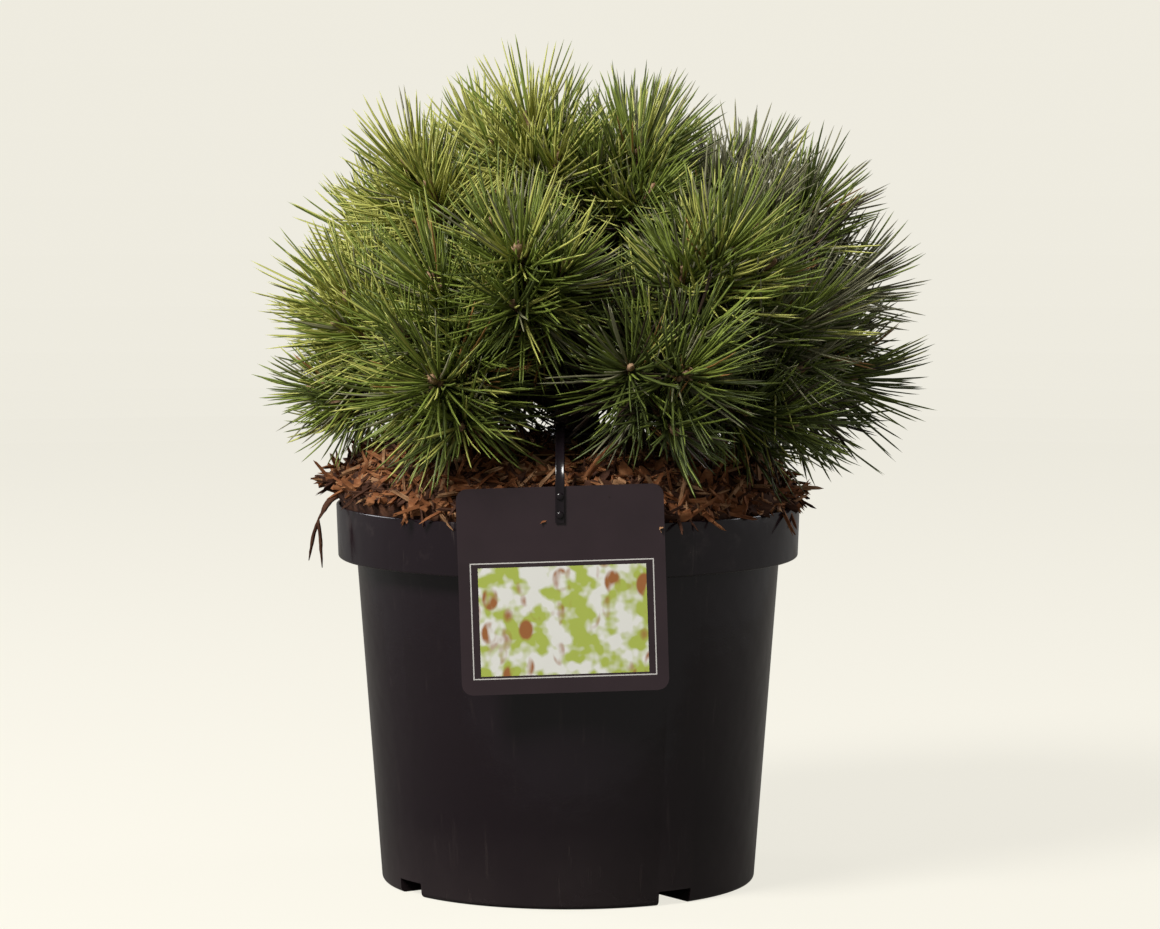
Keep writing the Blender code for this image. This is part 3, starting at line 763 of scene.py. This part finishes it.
def dress(spray, rng, bins):
    """Sets pairs of needles in a spiral round a spray's shoot."""
    path = spray.path
    wide, narrow = spray.openings
    for index in range(spray.pairs):
        share = (index + rng.random()) / spray.pairs
        root, along = place_on(path, share)
        opening = wide + (narrow - wide) * share**1.3 + rng.gauss(0.0, 0.17)
        turn = index * GOLDEN_ANGLE + rng.gauss(0.0, 0.2)
        middle = tilted(along, turn, opening)
        reach = spray.length * rng.triangular(0.66, 1.10, 1.0) * (1 - 0.08 * share)
        tone = rng.choices(TONES, TONE_BLENDS[spray.tone])[0]
        split = tilted(middle, rng.uniform(0.0, math.tau), PAIR_OPENING * rng.uniform(0.4, 1.6))
        for needle in (split, (2 * middle - split).normalized()):
            lift = (UP - needle * needle.z) * NEEDLE_LIFT
            bow = tilted(needle, rng.uniform(0.0, math.tau), math.pi / 2) * rng.gauss(0.0, NEEDLE_BOW)
            length = reach * rng.uniform(0.95, 1.03)
            tip = root + (needle + lift + bow) * length
            halfway = root + (needle + (lift + bow) * 0.25) * length / 2
            if in_the_way(tip) or in_the_way(halfway):
                continue
            bins[tone].append((*root, *needle, length, *(lift + bow), rng.uniform(0.0, math.tau)))


def needle_arrays(rows):
    """Points and triangles of many needles, each a three-sided blade that narrows to its tip."""
    rows = np.array(rows)
    roots, along, length = rows[:, 0:3], rows[:, 3:6], rows[:, 6:7]
    bends, turns = rows[:, 7:10], rows[:, 10:11]
    side = np.cross(along, np.where(np.abs(along[:, 2:3]) < 0.9, [0.0, 0.0, 1.0], [1.0, 0.0, 0.0]))
    side /= np.linalg.norm(side, axis=1, keepdims=True)
    other = np.cross(along, side)
    wide = side * np.cos(turns) + other * np.sin(turns)
    deep = other * np.cos(turns) - side * np.sin(turns)
    rings = []
    for step, swell in zip(NEEDLE_STEPS, NEEDLE_SWELLS):
        middle = roots + (along * step + bends * step**2) * length
        for corner in range(3):
            angle = math.tau * corner / 3
            offset = wide * math.cos(angle) * NEEDLE_WIDTH + deep * math.sin(angle) * NEEDLE_DEPTH
            rings.append(middle + offset * swell * 0.55)
    rings.append(roots + (along + bends) * length)
    points = np.stack(rings, axis=1)
    each = len(rings)
    pattern = [(0, 2, 1)]
    for ring in range(len(NEEDLE_STEPS) - 1):
        for corner in range(3):
            a = ring * 3 + corner
            b = ring * 3 + (corner + 1) % 3
            pattern += [(a, b, b + 3), (a, b + 3, a + 3)]
    last = each - 4
    pattern += [(last + corner, last + (corner + 1) % 3, each - 1) for corner in range(3)]
    faces = np.array(pattern)[None] + np.arange(len(rows))[:, None, None] * each
    return points.reshape(-1, 3), faces.reshape(-1, 3)


def make_needles(sprays, rng):
    """All needles, in pieces by tone, which take the place of the CAD needle masses; these are hidden.
    """
    bins = {tone: [] for tone in TONES}
    for spray in sprays:
        dress(spray, rng, bins)
    bins["old"] += fallen_needles(rng)
    for tone, rows in bins.items():
        finish = finish_named(f"needles_{tone}", NEEDLE_COLOURS[tone], 0.46, 0.45)[0]
        triangles = len(needle_arrays(rows[:1])[1])
        parts = math.ceil(len(rows) * triangles / PIECE_TRIANGLES)
        for part in range(parts):
            mesh = new_mesh(f"needles_{tone}_{part + 1}", *needle_arrays(rows[part::parts]))
            add_piece(mesh.name, mesh, finish)
    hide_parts(*[f"mass_{name}" for name in SHOOTS])


def fallen_needles(rng):
    """Loose brown needles that lie on the mulch."""
    rows = []
    for _ in range(FALLEN_NEEDLES):
        bearing = rng.uniform(0.0, math.tau)
        reach = math.sqrt(rng.uniform(0.05, 0.95)) * (RIM_RADIUS - 0.02)
        flat = heading(rng.uniform(0.0, math.tau), rng.uniform(-0.05, 0.12))
        middle = heading(bearing, 0.0) * reach
        length = NEEDLE_LENGTH * rng.uniform(0.6, 1.0)
        root = middle - flat * length / 2
        tip = middle + flat * length / 2
        if max(root.xy.length, tip.xy.length) > RIM_RADIUS - 0.008:
            continue
        for place in (root, middle, tip):
            place.z = mix_height(place.x, place.y) + 0.0045
        bend = (middle - (root + tip) / 2) / length * 2
        along = (tip - root) / length - bend
        rows.append((*root, *along.normalized(), length, *bend, rng.uniform(0.0, math.tau)))
    return rows


def make_buds(sprays, rng, finish):
    """Pointed resinous buds at the shoots' tips, the leader's with smaller ones round it."""
    batch = Batch()
    for spray in sprays:
        if not spray.bud:
            continue
        tip, along = place_on(spray.path, 1.0)
        buds = [(along, 0.015 * spray.bud, 0.0029 * spray.bud)]
        if spray.bud == 1.0:
            for index in range(4):
                out = tilted(along, index * math.pi / 2 + rng.uniform(-0.3, 0.3), rng.uniform(0.6, 0.9))
                buds.append((out, 0.0085, 0.0017))
        for out, length, radius in buds:
            path = [tip - out * length * 0.1 + out * length * step / 6 for step in range(7)]

            def radius_at(share, radius=radius):
                return radius * (0.55 + 1.2 * share) * math.sqrt(max(1 - share**2.2, 0.0)) + 0.0001

            relief = scale_relief(0.24 * radius, 0.0011)
            batch.add(*relief_tube(path, radius_at, relief, 10, length / 9))
    add_piece("buds", batch.mesh("buds"), finish)


# Mulch


def heap_edge(bearing):
    """How far out the mulch reaches; on the left it spills over the rim."""
    facing = max(math.cos(bearing - SPILL_BEARING), 0.0)
    return RIM_RADIUS - POT_WALL - TOUCH_GAP + (SPILL + POT_WALL) * facing**6


def heap_point(reach_share, bearing):
    reach = heap_edge(bearing) * reach_share
    place = heading(bearing, 0.0) * reach
    lumps = sum(height * noise.noise(place / size) for height, size in LUMPS)
    edge = min((1 - reach_share) * 12, 1.0)
    seat = min(max(reach / SEAT_RADIUS - 1, 0.0), 1.0)
    place.z = mix_height(place.x, place.y) + lumps * max(edge, 0.25) * (0.3 + 0.7 * seat)
    if reach > RIM_RADIUS - POT_WALL - 0.002:
        place.z = max(place.z, POT_HEIGHT + 0.0012)
    return place


def heap_grid():
    """The top of the heap as rings round a middle point."""
    points = [heap_point(0.0, 0.0)]
    for ring in range(1, HEAP_RINGS + 1):
        for sector in range(HEAP_SECTORS):
            points.append(heap_point(ring / HEAP_RINGS, math.tau * sector / HEAP_SECTORS))
    faces = []
    for sector in range(HEAP_SECTORS):
        after = (sector + 1) % HEAP_SECTORS
        faces.append((0, 1 + sector, 1 + after))
        for ring in range(HEAP_RINGS - 1):
            a = 1 + ring * HEAP_SECTORS + sector
            b = 1 + ring * HEAP_SECTORS + after
            faces.append((a, a + HEAP_SECTORS, b + HEAP_SECTORS, b))
    return points, faces


def make_heap(finish):
    """The mulch as a closed lens that rests in the pot's mouth."""
    points, faces = heap_grid()
    batch = Batch()
    batch.add(points, faces)
    rim = len(points) - HEAP_SECTORS
    inner = RIM_RADIUS - POT_WALL - RIM_BAND_TAPER - TOUCH_GAP
    low = len(points)
    batch.points += circle(inner, POT_HEIGHT + MIX_EDGE_RISE / 2, HEAP_SECTORS)
    batch.points += circle(inner, POT_HEIGHT - HEAP_DEPTH, HEAP_SECTORS)
    for sector in range(HEAP_SECTORS):
        after = (sector + 1) % HEAP_SECTORS
        for upper, lower in ((rim, low), (low, low + HEAP_SECTORS)):
            batch.faces.append((upper + sector, lower + sector, lower + after, upper + after))
    batch.faces.append(tuple(reversed(range(low + HEAP_SECTORS, low + 2 * HEAP_SECTORS))))
    mesh = batch.mesh("mulch")
    face_outwards(mesh)
    add_piece("mulch", mesh, finish, ["potting_mix"])


def face_outwards(mesh):
    work = bmesh.new()
    work.from_mesh(mesh)
    bmesh.ops.recalc_face_normals(work, faces=work.faces)
    work.to_mesh(mesh)
    work.free()


def chip_variant(index, length, width, thickness, folder):
    """One torn flake of bark."""
    rng = random.Random(100 + index)
    work = bmesh.new()
    bmesh.ops.create_cube(work, size=1.0)
    bmesh.ops.subdivide_edges(work, edges=work.edges, cuts=1, use_grid_fill=True)
    shift = Vector((rng.uniform(0, 9), rng.uniform(0, 9), rng.uniform(0, 9)))
    for corner in work.verts:
        co = corner.co
        taper = 1 - 0.45 * abs(co.x) * rng.uniform(0.6, 1.4)
        co.y *= taper
        co += noise.noise_vector(co * 2.6 + shift) * 0.34
        co.z += co.x * co.x * rng.uniform(-0.5, 0.5)
        corner.co = Vector((co.x * length, co.y * width, co.z * thickness))
    mesh = mesh_of(f"chip_{index}", work)
    folder.objects.link(bpy.data.objects.new(mesh.name, mesh))


def scatter_tree():
    """Strews picked shapes over a surface, each laid on it with its own turn, tilt and size."""
    tree = bpy.data.node_groups.new("strew_over_surface", "GeometryNodeTree")
    kinds = {"Surface": "Geometry", "Shapes": "Collection"}
    kinds |= dict.fromkeys(("Spacing", "Density", "Smallest", "Largest", "Tilt"), "Float")
    kinds |= {"Seed": "Int", "Finish": "Material"}
    for name, kind in kinds.items():
        tree.interface.new_socket(name, in_out="INPUT", socket_type=f"NodeSocket{kind}")
    tree.interface.new_socket("Strewn", in_out="OUTPUT", socket_type="NodeSocketGeometry")
    graph = Graph(tree)
    entry = tree.nodes.new("NodeGroupInput")
    given = {socket.name: Socket(graph, socket) for socket in entry.outputs if socket.name}
    spread = tree.nodes.new("GeometryNodeDistributePointsOnFaces")
    spread.distribute_method = "POISSON"
    wanted = {"Mesh": "Surface", "Distance Min": "Spacing", "Density Max": "Density", "Seed": "Seed"}
    for key, name in wanted.items():
        graph.feed(spread.inputs[key], given[name])
    shapes = graph.add(
        "GeometryNodeCollectionInfo",
        inputs={"Collection": given["Shapes"], "Separate Children": True, "Reset Children": True},
    )
    low = graph.add("ShaderNodeCombineXYZ", inputs={0: 0 - given["Tilt"], 1: 0 - given["Tilt"], 2: 0.0})
    high = graph.add("ShaderNodeCombineXYZ", inputs={0: given["Tilt"], 1: given["Tilt"], 2: math.tau})
    inputs = {0: low, 1: high, "Seed": given["Seed"]}
    turn = graph.add("FunctionNodeRandomValue", {"data_type": "FLOAT_VECTOR"}, inputs)
    laid = graph.add(
        "FunctionNodeRotateRotation",
        {"rotation_space": "LOCAL"},
        {"Rotation": Socket(graph, spread.outputs["Rotation"]), "Rotate By": turn},
    )
    inputs = {2: given["Smallest"], 3: given["Largest"], "Seed": given["Seed"] + 7}
    size = graph.add("FunctionNodeRandomValue", {"data_type": "FLOAT"}, inputs, out=1)
    inputs = {"Points": Socket(graph, spread.outputs["Points"]), "Instance": shapes}
    inputs |= {"Pick Instance": True, "Rotation": laid, "Scale": size}
    strewn = graph.add("GeometryNodeInstanceOnPoints", inputs=inputs)
    whole = graph.add("GeometryNodeRealizeInstances", inputs={"Geometry": strewn})
    inputs = {"Geometry": whole, "Material": given["Finish"]}
    coated = graph.add("GeometryNodeSetMaterial", inputs=inputs)
    leave = tree.nodes.new("NodeGroupOutput")
    graph.feed(leave.inputs["Strewn"], coated)
    return tree


def strewn_mesh(name, tree, surface, **values):
    """The tree's result over a surface as a plain mesh."""
    holder = placed(name, surface.copy())
    modifier = holder.modifiers.new("strew", "NODES")
    modifier.node_group = tree
    for item in tree.interface.items_tree:
        key = item.name.lower()
        if item.in_out == "INPUT" and key in values:
            modifier[item.identifier] = values[key]
    graph = bpy.context.evaluated_depsgraph_get()
    mesh = bpy.data.meshes.new_from_object(holder.evaluated_get(graph))
    mesh.name = name
    bpy.data.objects.remove(holder, do_unlink=True)
    return mesh


def behind_label(place):
    """Whether a place on the mulch is so near the card that a flake would poke through it."""
    return abs(place.x - CARD_CENTRE.x) < CARD_SIZE / 2 + 0.006 and place.y < -0.117


def make_chips():
    """Bark flakes and shreds of three tones strewn over the mulch."""
    tree = scatter_tree()
    points, faces = heap_grid()
    faces = [face for face in faces if not behind_label(points[face[0]])]
    surface = new_mesh("heap_top", points, faces)
    face_up(surface)
    flakes = bpy.data.collections.new("flakes")
    shreds = bpy.data.collections.new("shreds")
    for index in range(CHIP_SHAPES):
        chip_variant(index, 0.0095, 0.0050, 0.0022, flakes)
        chip_variant(10 + index, 0.0190, 0.0013, 0.0010, shreds)
    dark = chip_finish("chips_dark", (0.020, 0.008, 0.006), (0.060, 0.024, 0.013), (0.13, 0.060, 0.034))
    warm = chip_finish("chips_warm", (0.085, 0.026, 0.010), (0.215, 0.080, 0.030), (0.40, 0.19, 0.085))
    pale = chip_finish("chips_pale", (0.16, 0.075, 0.034), (0.32, 0.17, 0.085), (0.50, 0.31, 0.18))
    layers = (
        ("chips_dark", flakes, 0.0060, 0.45, 1.5, 0.6, 3, dark),
        ("chips_warm", flakes, 0.0062, 0.35, 1.6, 0.7, 11, warm),
        ("chips_pale", flakes, 0.0125, 0.3, 1.2, 0.8, 23, pale),
        ("shreds_dark", shreds, 0.0060, 0.4, 1.4, 0.6, 31, dark),
        ("shreds_warm", shreds, 0.0050, 0.4, 1.6, 0.8, 37, warm),
        ("shreds_pale", shreds, 0.0085, 0.4, 1.7, 0.9, 41, pale),
    )
    keys = ("shapes", "spacing", "smallest", "largest", "tilt", "seed", "finish")
    for name, *values in layers:
        given = dict(zip(keys, values))
        mesh = strewn_mesh(name, tree, surface, density=CHIP_DENSITY, **given)
        add_piece(name, mesh, given["finish"], sharp=math.radians(40))
    return warm, dark


def face_up(mesh):
    """Turns an open surface's faces so that they look upwards."""
    if sum(face.normal.z for face in mesh.polygons) < 0:
        mesh.flip_normals()


def splinter_mesh(name, path, width, thickness, seed):
    """A torn strip of wood along a path, thin and pointed at both ends."""
    middle = smoothed(path, 10)

    def radius_at(share):
        return width * math.sin(math.pi * (0.12 + 0.84 * share)) ** 0.7

    def relief(turn, run, place):
        flat = (thickness / width - 1) * math.sin(turn) ** 2
        ragged = 0.25 * noise.noise(place / 0.003 + Vector((seed, 0.0, 0.0)))
        return width * (flat + ragged) * 0.9

    return new_mesh(name, *relief_tube(middle, radius_at, relief, 8, 0.002))


def make_splinters(warm, dark):
    """A bright splinter that stands in the mulch, and a dark forked strip that hangs over the rim."""
    fork = (-0.1385, -0.030, 0.206)
    bright = ((0.0080, -0.110, 0.234), (0.0190, -0.108, 0.248), (0.0305, -0.104, 0.2600))
    stem = ((-0.118, -0.022, 0.222), (-0.131, -0.027, 0.2175), fork)
    left = (fork, (-0.1415, -0.030, 0.196), (-0.1440, -0.030, 0.183))
    right = (fork, (-0.1375, -0.031, 0.195), (-0.1365, -0.031, 0.179))
    strips = (
        ("splinter", bright, 0.0026, 0.0012, 1.0, warm),
        ("rim_strip", stem, 0.0022, 0.0009, 2.0, dark),
        ("rim_strip_left", left, 0.0013, 0.0009, 2.0, dark),
        ("rim_strip_right", right, 0.0013, 0.0009, 2.0, dark),
    )
    for name, places, width, thickness, seed, finish in strips:
        path = [Vector(place) for place in places]
        add_piece(name, splinter_mesh(name, path, width, thickness, seed), finish)


# Pot


def arc(middle, radius, start, end, steps=ARC_STEPS):
    """Points on an arc, from start to end in degrees."""
    found = []
    for step in range(steps + 1):
        angle = math.radians(start + (end - start) * step / steps)
        found.append((middle[0] + radius * math.cos(angle), middle[1] + radius * math.sin(angle)))
    return found


def turned_mesh(name, profile, sides):
    """A closed solid turned round Z from radii and heights that start and end on the axis."""
    points = [Vector((0.0, 0.0, profile[0][1]))]
    for radius, height in profile[1:-1]:
        points += circle(radius, height, sides)
    points.append(Vector((0.0, 0.0, profile[-1][1])))
    faces = []
    last = len(points) - 1
    for side in range(sides):
        after = (side + 1) % sides
        faces.append((0, 1 + side, 1 + after))
        faces.append((last, last - sides + after, last - sides + side))
        for ring in range(len(profile) - 3):
            a = 1 + ring * sides
            faces.append((a + side, a + sides + side, a + sides + after, a + after))
    mesh = new_mesh(name, points, faces)
    face_outwards(mesh)
    return mesh


def channel_turns():
    """The turn round Z of each drain channel."""
    first = CHANNEL_BEARING - math.pi / 2
    shares = [index * math.tau / CHANNEL_COUNT for index in range(CHANNEL_COUNT)]
    return [Matrix.Rotation(first + share, 4, "Z") for share in shares]


def channel_boxes(inner, outer, width, low, high):
    """One box along each drain channel's bearing."""
    work = bmesh.new()
    centre = Matrix.Translation(((inner + outer) / 2, 0.0, (low + high) / 2))
    size = Matrix.Diagonal((outer - inner, width, high - low, 1.0))
    for turn in channel_turns():
        bmesh.ops.create_cube(work, size=1.0, matrix=turn @ centre @ size)
    return work


def drain_rods():
    work = bmesh.new()
    form = {"cap_ends": True, "segments": 24, "depth": CHANNEL_HEIGHT}
    form |= {"radius1": DRAIN_RADIUS, "radius2": DRAIN_RADIUS}
    for turn in channel_turns():
        for reach in DRAIN_REACHES:
            place = turn @ Matrix.Translation((reach, 0.0, CHANNEL_HEIGHT))
            bmesh.ops.create_cone(work, matrix=place, **form)
    return work


def combined(name, mesh, steps):
    """A mesh after exact Booleans with other meshes, as (operation, mesh) steps."""
    holder = placed(name, mesh)
    helpers = []
    for operation, other in steps:
        helper = placed(f"{name}_helper", other)
        helpers.append(helper)
        modifier = holder.modifiers.new(operation, "BOOLEAN")
        modifier.operation = operation
        modifier.object = helper
        modifier.solver = "EXACT"
    graph = bpy.context.evaluated_depsgraph_get()
    made = bpy.data.meshes.new_from_object(holder.evaluated_get(graph))
    for item in (holder, *helpers):
        bpy.data.objects.remove(item, do_unlink=True)
    return made


def mesh_of(name, work):
    mesh = bpy.data.meshes.new(name)
    work.to_mesh(mesh)
    work.free()
    return mesh


def make_pot(finish):
    """The pot's thin shell with a rolled rim edge, a rounded band and four drain channels."""
    band_foot = POT_HEIGHT - RIM_BAND_HEIGHT
    shoulder = band_foot + POT_WALL
    band_radius = RIM_RADIUS - RIM_BAND_TAPER
    step_radius = RIM_RADIUS - RIM_STEP
    lip = POT_WALL / 2
    profile = [
        (0.0, POT_WALL),
        (BASE_RADIUS - POT_WALL - FOOT_ROUNDING / 2, POT_WALL),
        (BASE_RADIUS - POT_WALL, POT_WALL + FOOT_ROUNDING / 2),
        (step_radius - POT_WALL, shoulder),
        (band_radius - POT_WALL, shoulder),
        *arc((RIM_RADIUS - lip, POT_HEIGHT - lip), lip, 180, 0, 8),
        *arc((band_radius - BAND_ROUNDING, band_foot + BAND_ROUNDING), BAND_ROUNDING, 0, -90),
        *arc((step_radius + EDGE_ROUNDING, band_foot - EDGE_ROUNDING), EDGE_ROUNDING, 90, 180),
        *arc((BASE_RADIUS - FOOT_ROUNDING, FOOT_ROUNDING), FOOT_ROUNDING, -7, -90),
        (0.0, 0.0),
    ]
    shell = turned_mesh("pot_shell", profile, POT_SIDES)
    wall = POT_WALL / 2
    slope = (RIM_RADIUS - RIM_STEP - BASE_RADIUS) / (POT_HEIGHT - RIM_BAND_HEIGHT)
    top = 2 * CHANNEL_HEIGHT
    low_radius = BASE_RADIUS - wall
    form = [(0.0, top), (low_radius + slope * top, top), (low_radius, 0.0), (0.0, 0.0)]
    wide = CHANNEL_WIDTH + 2 * POT_WALL
    roof = CHANNEL_HEIGHT + POT_WALL
    blocks = mesh_of("blocks", channel_boxes(CHANNEL_START, RIM_RADIUS, wide, wall, roof))
    blocks = combined("blocks", blocks, [("INTERSECT", turned_mesh("form", form, POT_SIDES))])
    start = CHANNEL_START + POT_WALL
    hollow = channel_boxes(start, RIM_RADIUS, CHANNEL_WIDTH, -POT_WALL, CHANNEL_HEIGHT)
    steps = (
        ("UNION", blocks),
        ("DIFFERENCE", mesh_of("hollow", hollow)),
        ("DIFFERENCE", mesh_of("drains", drain_rods())),
    )
    mesh = combined("pot_shell", shell, steps)
    mesh.name = "nursery_pot"
    add_piece("nursery_pot", mesh, finish, ["pot"], sharp=math.radians(32))


# Label strap


def strap_path():
    """The strap's middle, from the loop on the trunk, over the mulch and down the front of the card."""
    front = -(RIM_RADIUS + TOUCH_GAP + CARD_THICKNESS + TOUCH_GAP + STRAP_THICKNESS / 2)
    trunk = trunk_place(STRAP_LOOP_HEIGHT)
    card_top = CARD_CENTRE.y + CARD_SIZE / 2
    loop_front = math.sqrt(STRAP_LOOP_RADIUS**2 - (STRAP_ACROSS - trunk.x) ** 2)
    hull = (
        Vector((STRAP_ACROSS, trunk.y - loop_front + STRAP_THICKNESS / 4, STRAP_LOOP_HEIGHT)),
        Vector((STRAP_ACROSS, front * 0.4, STRAP_ARCH_HEIGHT)),
        Vector((STRAP_ACROSS, front, STRAP_ARCH_HEIGHT)),
        Vector((STRAP_ACROSS, front, card_top)),
    )
    drop = STUD_HEIGHTS[-1] - 2 * STUD_RADIUS - card_top
    down = [Vector((STRAP_ACROSS, front, card_top + drop * step / 6)) for step in range(1, 7)]
    return curve(hull, 32) + down


def strap_section():
    """Half-widths and thicknesses round the strap: flat, with a thin raised bead along each edge."""
    half = STRAP_WIDTH / 2
    thick = STRAP_THICKNESS / 2
    bead = half - 0.0007
    upper = [(-half, 0.5), (-half + 0.0002, 0.95), (-bead, 1.0), (-bead + 0.0003, 0.65)]
    upper += [(-across, rise) for across, rise in reversed(upper)]
    outline = [(across, rise * thick) for across, rise in upper]
    return outline + [(across, -rise) for across, rise in reversed(outline)]


def swept(path, across, section, closed=False):
    """A section carried along a path; across is its own unturned direction at each point."""
    count = len(path)
    points = []
    for index, place in enumerate(path):
        before = path[(index - 1) % count] if closed else path[max(index - 1, 0)]
        after = path[(index + 1) % count] if closed else path[min(index + 1, count - 1)]
        out = across.cross((after - before).normalized())
        points += [place + across * side + out * rise for side, rise in section]
    sides = len(section)
    quads = ring_faces(sides, count if closed else count - 1)
    faces = [tuple(corner % len(points) for corner in quad) for quad in quads]
    if not closed:
        faces.append(tuple(reversed(range(sides))))
        faces.append(tuple(range((count - 1) * sides, count * sides)))
    return points, faces


def make_strap(finish):
    batch = Batch()
    section = strap_section()
    path = strap_path()
    batch.add(*swept(path, Vector((1.0, 0.0, 0.0)), section))
    trunk = trunk_place(STRAP_LOOP_HEIGHT)
    ring = [trunk + place for place in circle(STRAP_LOOP_RADIUS, 0.0, 48)]
    batch.add(*swept(ring, UP, section, closed=True))
    for height in STUD_HEIGHTS:
        face = Vector((STRAP_ACROSS, path[-1].y - STRAP_THICKNESS / 2, height))
        dome = [face + Vector((0.0, -STUD_DEPTH * step / 6 + 0.0003, 0.0)) for step in range(7)]

        def radius_at(share):
            return STUD_RADIUS * math.sqrt(max(1 - share**2.5, 0.0)) + 0.00005

        batch.add(*relief_tube(dome, radius_at, lambda turn, run, place: 0.0, 20, STUD_DEPTH / 8))
    mesh = batch.mesh("strap")
    face_outwards(mesh)
    add_piece("strap", mesh, finish, ["label_strap"], sharp=math.radians(50))


# Studio


def make_studio():
    """A pale paper bowl that fills the view, a sheet under it, and soft lights."""
    paper, _, feed = finish_named("floor_paper", (0.16, 0.155, 0.14), 0.95, 0.0)
    feed(emission_color=(0.880, 0.855, 0.765, 1.0), emission_strength=PAPER_GLOW)
    wall = arc((3.0, 1.0), 1.0, -80, 0, 12)
    bowl = add_disc("floor", [(0.02, 0.0), (1.5, 0.0), (3.0, 0.0), *wall], paper)
    bowl.visible_diffuse = False
    bowl.visible_glossy = False
    white = finish_named("table_white", (0.80, 0.78, 0.74), 0.9, 0.0)[0]
    table = add_table(white)
    table.visible_camera = False
    for name, light in LIGHTS.items():
        add_light(name, *light)
    world = bpy.data.worlds.new("studio")
    bpy.context.scene.world = world
    world.use_nodes = True
    sky = world.node_tree.nodes["Background"]
    sky.inputs["Color"].default_value = (1.0, 0.975, 0.92, 1.0)
    sky.inputs["Strength"].default_value = SKY_STRENGTH
    bpy.context.scene.view_settings.view_transform = "Standard"


def add_disc(name, profile, finish):
    """A surface turned round Z that faces up and inwards, as part of the stage."""
    sides = 96
    points = []
    for radius, height in profile:
        points += circle(radius, height, sides)
    faces = [(a, d, c, b) for a, b, c, d in ring_faces(sides, len(profile) - 1)]
    return staged(name, new_mesh(name, points, [*faces, tuple(range(sides))]), finish)


def staged(name, mesh, finish):
    """A surface of the studio, faces up."""
    mesh.materials.append(finish)
    face_up(mesh)
    made = placed(name, mesh)
    return made


def add_table(finish):
    """The pale sheet under the pot, whose near edge lies close in front of it."""
    corners = [(x, y, -TABLE_DROP) for x, y in TABLE_CORNERS]
    return staged("table", new_mesh("table", corners, [(0, 1, 2, 3)]), finish)


def add_light(name, place, size, power, colour):
    lamp = bpy.data.lights.new(name, "AREA")
    lamp.shape = "DISK"
    lamp.size = size
    lamp.energy = power
    lamp.color = colour
    item = placed(name, lamp)
    item.location = place
    item.rotation_euler = (LIGHT_TARGET - Vector(place)).to_track_quat("-Z", "Y").to_euler()


def make_camera():
    lens = bpy.data.cameras.new("camera")
    lens.lens = CAMERA_LENS
    lens.sensor_width = SENSOR_WIDTH
    lens.sensor_fit = "HORIZONTAL"
    camera = placed("camera", lens)
    camera.location = CAMERA_PLACE
    camera.rotation_euler = (math.pi / 2 + CAMERA_PITCH, 0.0, 0.0)
    bpy.context.scene.camera = camera


def build():
    rng = random.Random(RANDOM_SEED)
    paths = {}
    for name, shoot in SHOOTS.items():
        paths[name] = limb_path(shoot, paths)
    sprays = grow_sprays(paths, rng)
    old_bark = bark_finish("old_bark", (0.020, 0.012, 0.010), (0.115, 0.072, 0.052), 0.0022, 0.0007)
    young_bark = bark_finish("young_bark", (0.045, 0.022, 0.012), (0.17, 0.095, 0.048), 0.0014, 0.0004)
    bud_scales = bark_finish("bud_scales", (0.16, 0.078, 0.040), (0.46, 0.31, 0.19), 0.0010, 0.0003)
    make_trunk(old_bark)
    make_boughs(paths, old_bark)
    make_twigs([spray for spray in sprays if spray.radius], young_bark)
    make_needles(sprays, rng)
    make_buds(sprays, rng, bud_scales)
    tones = (0.016, 0.007, 0.005), (0.060, 0.024, 0.013), (0.16, 0.070, 0.034)
    soil = chip_finish("mulch_ground", *tones)
    make_heap(soil)
    make_splinters(*make_chips())
    make_pot(pot_finish())
    strap = finish_named("strap_plastic", (0.009, 0.006, 0.008), 0.22, 0.5)[0]
    make_strap(strap)
    frame["nodes"]["label"].material_slots[0].material = card_finish()
    make_studio()
    make_camera()


build()
